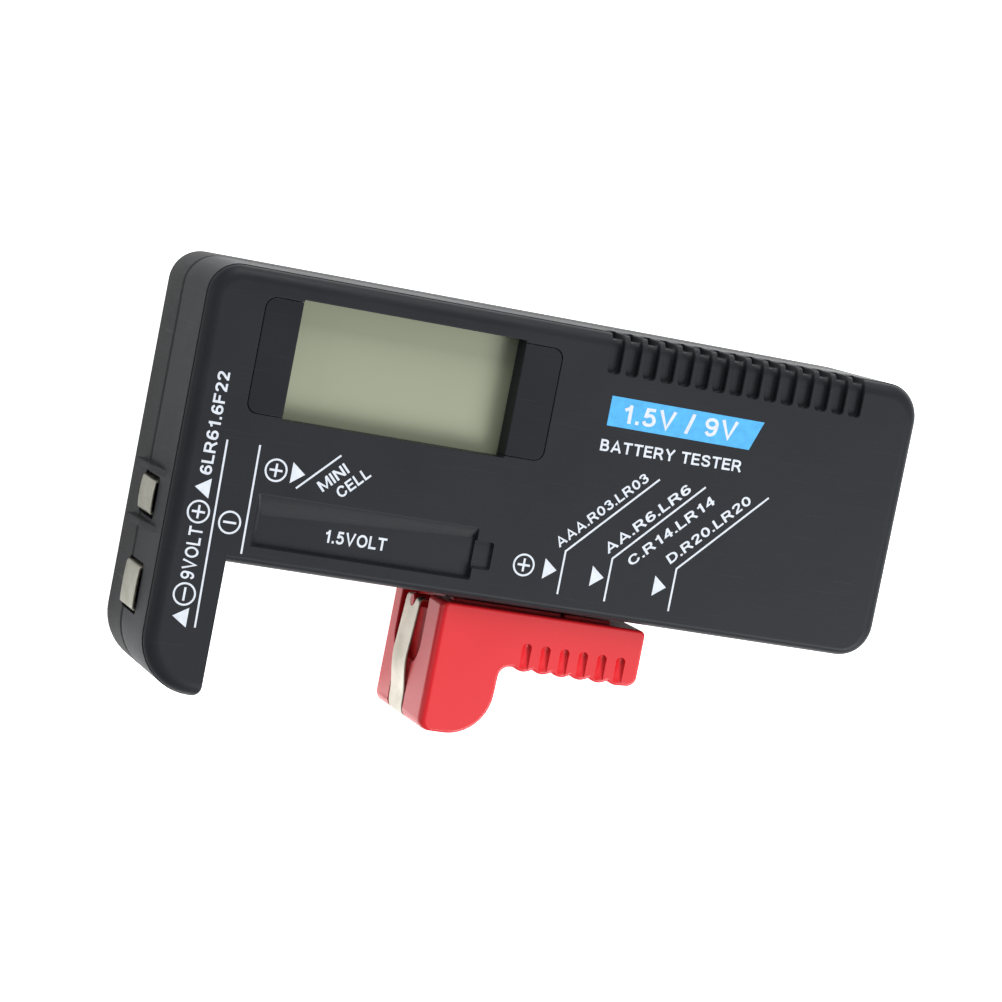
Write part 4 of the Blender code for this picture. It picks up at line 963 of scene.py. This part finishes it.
# Printing on the face: thin ink, drawn flat and given a little thickness
printShape = {"stroke": 0.27, "thickness": 0.014, "sunk": 0.002, "markRadius": 1.62, "bar": 0.31}


def addPlate(shape, points, level, thickness):
    rows = [[shape.verts.new((p.x, p.y, level + rise)) for p in points] for rise in (0.0, thickness)]
    for i in range(len(points)):
        j = (i + 1) % len(points)
        shape.faces.new((rows[0][i], rows[0][j], rows[1][j], rows[1][i]))
    shape.faces.new(rows[0][::-1])
    shape.faces.new(rows[1])


def addStroke(shape, line, level, width=None, thickness=None):
    half = (width or printShape["stroke"]) / 2
    left, right = [], []
    for i, here in enumerate(line):
        back = (here - line[i - 1]).normalized() if i else (line[1] - here).normalized()
        ahead = (line[i + 1] - here).normalized() if i < len(line) - 1 else back
        bend = max(math.cos(back.angle(ahead) / 2), 0.6)
        side = Vector((-back.y - ahead.y, back.x + ahead.x)).normalized() * half / bend
        left.append(here + side)
        right.append(here - side)
    addPlate(shape, left + right[::-1], level, thickness or printShape["thickness"])


# A flat oval ring of a given stroke: place is (across, up), reach its middle line's two radii
def addOval(shape, place, reach, stroke, low, high, steps):
    rings = []
    for grow, level in ((-stroke / 2, low), (stroke / 2, low), (stroke / 2, high), (-stroke / 2, high)):
        across, up = reach[0] + grow, reach[1] + grow
        rings.append([shape.verts.new((place[0] + across * math.cos(a), place[1] + up * math.sin(a), level))
                      for a in wholeTurn(steps)])
    for inner, outer in zip(rings, rings[1:] + rings[:1]):
        for i in range(steps):
            j = (i + 1) % steps
            shape.faces.new((inner[i], inner[j], outer[j], outer[i]))


# A ringed sign, as beside a cell's ends: "+", "-", or "|" for a minus that stands upright
def addPole(shape, u, v, level, sign):
    middle = printShape["markRadius"] - printShape["stroke"] / 2
    addOval(shape, (u, v), (middle, middle), printShape["stroke"], level, level + printShape["thickness"], 40)
    reach, half = 0.93, printShape["bar"] / 2
    if sign == "+":
        corners = [(-reach, -half), (-half, -half), (-half, -reach), (half, -reach), (half, -half),
                   (reach, -half), (reach, half), (half, half), (half, reach), (-half, reach), (-half, half),
                   (-reach, half)]
    else:
        across, up = (half, reach) if sign == "|" else (reach, half)
        corners = [(-across, -up), (across, -up), (across, up), (-across, up)]
    addPlate(shape, [Vector((u + x, v + y)) for x, y in corners], level, printShape["thickness"])


# Plain sans letters, drawn as strokes on a unit of height: width, then the strokes in layers that
# are joined one after another. A stroke is a list of points, "o" an oval and "~" a smooth line
stem = 0.09
letters = {
    "A": (0.86, [[(0.07, 0), (0.43, 0.96), (0.79, 0)]], [[(0.2, 0.29), (0.66, 0.29)]]),
    "B": (0.76, [[(stem, 0), (stem, 1)]],
          [["~", (stem, 0.91), (0.34, 0.91), (0.48, 0.89), (0.56, 0.8), (0.55, 0.62), (0.46, 0.545),
            (0.32, 0.53), (stem, 0.53)]],
          [["~", (stem, 0.52), (0.38, 0.52), (0.54, 0.49), (0.63, 0.37), (0.62, 0.2), (0.53, 0.11),
            (0.38, 0.09), (stem, 0.09)]]),
    "C": (0.84, [["~", (0.72, 0.68), (0.64, 0.84), (0.45, 0.915), (0.24, 0.85), (0.11, 0.66), (0.09, 0.5),
                  (0.11, 0.33), (0.24, 0.15), (0.45, 0.085), (0.65, 0.17), (0.73, 0.34)]]),
    "D": (0.8, [[(stem, 0), (stem, 1)]],
          [["~", (stem, 0.91), (0.3, 0.91), (0.5, 0.87), (0.67, 0.72), (0.71, 0.5), (0.67, 0.28), (0.5, 0.13),
            (0.3, 0.09), (stem, 0.09)]]),
    "E": (0.7, [[(stem, 0), (stem, 1)]], [[(stem, 0.91), (0.67, 0.91)], [(stem, 0.52), (0.62, 0.52)],
                                            [(stem, 0.09), (0.69, 0.09)]]),
    "F": (0.66, [[(stem, 0), (stem, 1)]], [[(stem, 0.91), (0.65, 0.91)], [(stem, 0.5), (0.56, 0.5)]]),
    "I": (0.18, [[(stem, 0), (stem, 1)]]),
    "L": (0.64, [[(stem, 1), (stem, 0)]], [[(stem, 0.09), (0.64, 0.09)]]),
    "M": (0.98, [[(stem, 0), (stem, 1)], [(0.89, 0), (0.89, 1)]],
          [[(stem + 0.02, 0.97), (0.49, 0.1), (0.87, 0.97)]]),
    "N": (0.82, [[(stem, 0), (stem, 1)], [(0.73, 0), (0.73, 1)]], [[(stem + 0.02, 0.95), (0.71, 0.05)]]),
    "O": (0.92, [["o", 0.46, 0.5, 0.37, 0.415]]),
    "R": (0.8, [[(stem, 0), (stem, 1)]],
          [["~", (stem, 0.91), (0.4, 0.91), (0.56, 0.88), (0.64, 0.77), (0.63, 0.6), (0.54, 0.5), (0.4, 0.47),
            (stem, 0.47)]], [[(0.42, 0.45), (0.56, 0.33), (0.75, 0)]]),
    "S": (0.76, [["~", (0.65, 0.71), (0.56, 0.87), (0.37, 0.915), (0.17, 0.87), (0.1, 0.73), (0.17, 0.6),
                  (0.38, 0.53), (0.58, 0.45), (0.67, 0.29), (0.58, 0.13), (0.38, 0.085), (0.17, 0.13),
                  (0.08, 0.3)]]),
    "T": (0.76, [[(0, 0.91), (0.76, 0.91)]], [[(0.38, 0), (0.38, 0.93)]]),
    "V": (0.84, [[(0.07, 1), (0.42, 0.05), (0.77, 1)]]),
    "Y": (0.82, [[(0.07, 1), (0.41, 0.47), (0.75, 1)]], [[(0.41, 0), (0.41, 0.5)]]),
    "0": (0.68, [["o", 0.34, 0.5, 0.25, 0.415]]),
    "1": (0.56, [[(0.4, 0), (0.4, 1)]], [[(0.4, 0.88), (0.28, 0.77), (0.12, 0.7)]]),
    "2": (0.68, [["~", (0.1, 0.7), (0.15, 0.85), (0.34, 0.915), (0.53, 0.85), (0.57, 0.68), (0.47, 0.49),
                  (0.28, 0.29), (0.14, 0.07)]], [[(0.08, 0.09), (0.65, 0.09)]]),
    "3": (0.68, [["~", (0.1, 0.74), (0.18, 0.88), (0.34, 0.915), (0.5, 0.86), (0.55, 0.73), (0.48, 0.59),
                  (0.28, 0.54)]],
          [["~", (0.3, 0.53), (0.5, 0.49), (0.59, 0.32), (0.53, 0.14), (0.34, 0.085), (0.17, 0.13),
            (0.09, 0.28)]]),
    "4": (0.7, [[(0.5, 0), (0.5, 0.98)]], [[(0.48, 0.9), (0.1, 0.3), (0.68, 0.3)]]),
    "5": (0.68, [["~", (0.19, 0.52), (0.34, 0.61), (0.5, 0.55), (0.59, 0.34), (0.52, 0.15), (0.33, 0.085),
                  (0.16, 0.13), (0.09, 0.27)]], [[(0.6, 0.91), (0.22, 0.91), (0.15, 0.46)]]),
    "6": (0.68, [["o", 0.34, 0.315, 0.25, 0.23]],
          [["~", (0.57, 0.76), (0.48, 0.89), (0.35, 0.915), (0.19, 0.82), (0.11, 0.6), (0.09, 0.36)]]),
    "9": (0.68, [["o", 0.34, 0.685, 0.25, 0.23]],
          [["~", (0.11, 0.24), (0.2, 0.11), (0.33, 0.085), (0.49, 0.18), (0.57, 0.4), (0.59, 0.64)]]),
    ".": (0.2, [[(0.1, 0), (0.1, 0.19)]]),
    "/": (0.36, [[(0.03, -0.05), (0.33, 1.05)]]),
    " ": (0.3, []),
}


def addLetter(shape, strokes, left, weight):
    for stroke in strokes:
        if stroke[0] == "o":
            _, x, y, across, up = stroke
            addOval(shape, (left + x, y), (across, up), weight, 0, 1, 28)
            continue
        line = [Vector(p) for p in stroke if p != "~"]
        line = smoothLine(line, 4) if stroke[0] == "~" else line
        moved = [p + Vector((left, 0)) for p in line]
        addStroke(shape, moved, 0.0, weight, 1.0)


# A line of text of a given height and length, from its lower left corner
def addText(shape, words, start, angle, height, length, level, weight=0.175):
    layers = [bmesh.new() for _ in range(3)]
    left = 0.0
    for letter in words:
        width, *strokes = letters[letter]
        for layer, group in zip(layers, strokes):
            addLetter(layer, group, left, weight)
        left += width + 0.13
    wide = length / (left - 0.13)
    place = (Matrix.Translation((start[0], start[1], level)) @ Matrix.Rotation(math.radians(angle), 4, "Z")
             @ Matrix.Diagonal((wide, height, printShape["thickness"], 1.0)))
    made = []
    for layer in layers:
        bmesh.ops.transform(layer, matrix=Matrix.Diagonal((10, 10, 1, 1)), verts=layer.verts)
        if layer.verts:
            made.append(addShape("letters", layer))
    if len(made) > 1:
        for other in made[1:]:
            carve(made[0], other, how="UNION")
    made[0].data.transform(place @ Matrix.Diagonal((0.1, 0.1, 1, 1)))
    shape.from_mesh(made[0].data)
    bpy.data.objects.remove(made[0])


def addPrint(name, shape, material):
    place = Matrix.Translation((caseLeft, caseFoot, 0.0)) @ Matrix.Diagonal((mm, mm, mm, 1.0))
    bmesh.ops.transform(shape, matrix=place, verts=shape.verts)
    return finishPiece(addShape(name, shape), "case", material)


# Leader lines rise from the slider's travel and turn along a cell size's name
leaders = {"foot": 21.7, "fold": 27.9, "rise": 12.2, "places": (57.75, 64.95, 74.95),
           "arrows": (55.0, 62.25, 71.95)}
# Arrows that point to the right and to the left, by the middle of the flat end and by the tip
rightArrows = {"length": 1.95, "half": 1.47, "places": [(u, 25.0) for u in leaders["arrows"]] + [(16.07, 32.62)]}
leftArrows = {"length": 2.15, "half": 1.38, "places": [(3.05, 28.7), (3.3, 10.8)]}
faceLines = (((6.32, 35.65), (6.72, 9.6)), ((10.98, 35.65), (11.2, 20.55)), ((17.1, 30.6), (22.6, 36.05)))
facePoles = ((51.95, 25.05, "+"), (13.85, 32.6, "+"), (4.2, 25.35, "+"), (4.4, 13.95, "|"), (8.78, 24.55, "-"))


# Words, lower left corner, slant in degrees, height and length
faceTexts = (("AAA.R03.LR03", (56.75, 28.25), 45, 1.42, 16.2), ("AA.R6.LR6", (64.2, 28.45), 45, 1.42, 15.2),
             ("C.R14.LR14", (68.05, 27.2), 45, 1.42, 15.4), ("D.R20.LR20", (73.9, 28.4), 45, 1.42, 15.0),
             ("MINI", (20.95, 30.65), 45, 1.6, 4.7), ("CELL", (23.7, 30.15), 45, 1.6, 5.3),
             ("6LR61.6F22", (5.0, 30.5), 90, 1.7, 14.2), ("BATTERY TESTER", (59.8, 42.75), 0.8, 1.66, 21.9))


def makeFacePrint():
    face = caseSize["depth"] - printShape["sunk"]
    shape = bmesh.new()
    for u in leaders["places"]:
        addStroke(shape, [Vector((u, leaders["foot"])), Vector((u, leaders["fold"])),
                          Vector((u + leaders["rise"] - 0.25, leaders["fold"] + leaders["rise"]))], face)
    for arrows, tip, flat in ((rightArrows, 1, 0), (leftArrows, 0, 1)):
        length, half = arrows["length"], arrows["half"]
        for u, v in arrows["places"]:
            corners = ((u + length * flat, v - half), (u + length * tip, v), (u + length * flat, v + half))
            addPlate(shape, [Vector(p) for p in corners], face, printShape["thickness"])
    for line in faceLines:
        addStroke(shape, [Vector(p) for p in line], face)
    for u, v, sign in facePoles:
        addPole(shape, u, v, face, sign)
    for words, start, angle, height, length in faceTexts:
        addText(shape, words, start, angle, height, length, face)
    addText(shape, "9VOLT", (5.3, 16.0), 90, 1.95, 7.3, face, 0.16)
    addText(shape, "1.5VOLT", (22.7, 23.75), 0.5, 1.78, 9.1, face - recessShape["depth"])
    addPrint("facePrint", shape, whiteInk)


# The blue label, slanted at its right end, with 1.5V / 9V printed on it; the row of cells between full and empty
# on it is not drawn
labelShape = {"left": 60.12, "foot": 46.4, "top": 50.65, "rightFoot": 82.3, "rightTop": 83.9}


def makeLabel():
    face = caseSize["depth"] - printShape["sunk"]
    shape = bmesh.new()
    corners = [(labelShape[u], labelShape[v]) for u, v in
               (("left", "foot"), ("rightFoot", "foot"), ("rightTop", "top"), ("left", "top"))]
    addPlate(shape, [Vector(p) for p in corners], face, printShape["thickness"] * 0.5)
    addPrint("labelPanel", shape, blueInk)
    shape = bmesh.new()
    level = face + printShape["thickness"] * 0.5
    addText(shape, "1.5V / 9V", (62.1, 47.1), 1.0, 2.65, 17.9, level, 0.17)
    addPrint("labelPrint", shape, whiteInk)


makeFacePrint()
makeLabel()
print("printing made")


# Floor, lights and camera. Each lamp has a place, a size and a power
lamps = {"keyBox": ((0.78, -0.6, 0.95), 0.75, 19.0), "topBox": ((0.1, 1.0, 0.6), 0.6, 8.0),
         "leftBox": ((-1.1, 0.1, 0.4), 0.5, 2.0)}
floorShape = {"half": 3.0, "low": -0.012, "high": -0.002}
# The floor lights the object less on its left than on its right
floorGlow = {"leftEnd": -0.058, "rightEnd": -0.045, "left": 0.17, "right": 0.95, "seen": 1.15}
viewpoint = {"lens": 119.378, "place": (-113.71, 73.63, 457.78), "turn": (-8.9338, -18.9677, 11.7447)}


def makeStudio():
    floor = bmesh.new()
    half = floorShape["half"]
    loft([[Vector((x, y, z)) for x, y in ((-half, -half), (half, -half), (half, half), (-half, half))]
          for z in (floorShape["low"], floorShape["high"])], floor)
    slab = addShape("floor", floor)
    material, tree, shader = startMaterial("paleFloor", Roughness=0.75, Emission_Strength=1.0)
    moulded = addGroup(tree, mouldGrain, Grain=300.0, Drift=2.0)
    pale = mixColour(tree, moulded["Patches"], (0.86, 0.86, 0.86), (0.88, 0.88, 0.88))
    tree.links.new(pale, shader.inputs["Base Color"])
    direct = addNode(tree, "ShaderNodeLightPath").outputs["Is Camera Ray"]
    place = addNode(tree, "ShaderNodeTexCoord").outputs["Object"]
    across = addNode(tree, "ShaderNodeSeparateXYZ", Vector=place).outputs["X"]
    g = floorGlow
    returned = spread(tree, across, g["leftEnd"], g["rightEnd"], g["left"], g["right"])
    glow = addNode(tree, "ShaderNodeCombineXYZ", X=returned, Y=returned, Z=returned).outputs[0]
    tree.links.new(mixColour(tree, direct, glow, (g["seen"],) * 3), shader.inputs["Emission Color"])
    slab.data.materials.append(material)
    world = bpy.data.worlds.new("studio")
    world.use_nodes = True
    world.node_tree.nodes["Background"].inputs["Color"].default_value = (0.95, 0.97, 1.0, 1.0)
    world.node_tree.nodes["Background"].inputs["Strength"].default_value = 0.3
    bpy.context.scene.world = world
    bpy.context.scene.view_settings.view_transform = "Standard"
    for name, (place, size, power) in lamps.items():
        light = bpy.data.lights.new(name, "AREA")
        light.shape = "SQUARE"
        light.size = size
        light.energy = power
        lamp = bpy.data.objects.new(name, light)
        lamp.location = place
        lamp.rotation_euler = (-Vector(place)).to_track_quat("-Z", "Y").to_euler()
        bpy.context.scene.collection.objects.link(lamp)
    lens = bpy.data.cameras.new("view")
    lens.lens = viewpoint["lens"]
    lens.sensor_width = 36.0
    lens.clip_start = 0.01
    camera = bpy.data.objects.new("view", lens)
    camera.location = at(*viewpoint["place"])
    camera.rotation_euler = [math.radians(a) for a in viewpoint["turn"]]
    bpy.context.scene.collection.objects.link(camera)
    bpy.context.scene.camera = camera


makeStudio()
print("scene ready")
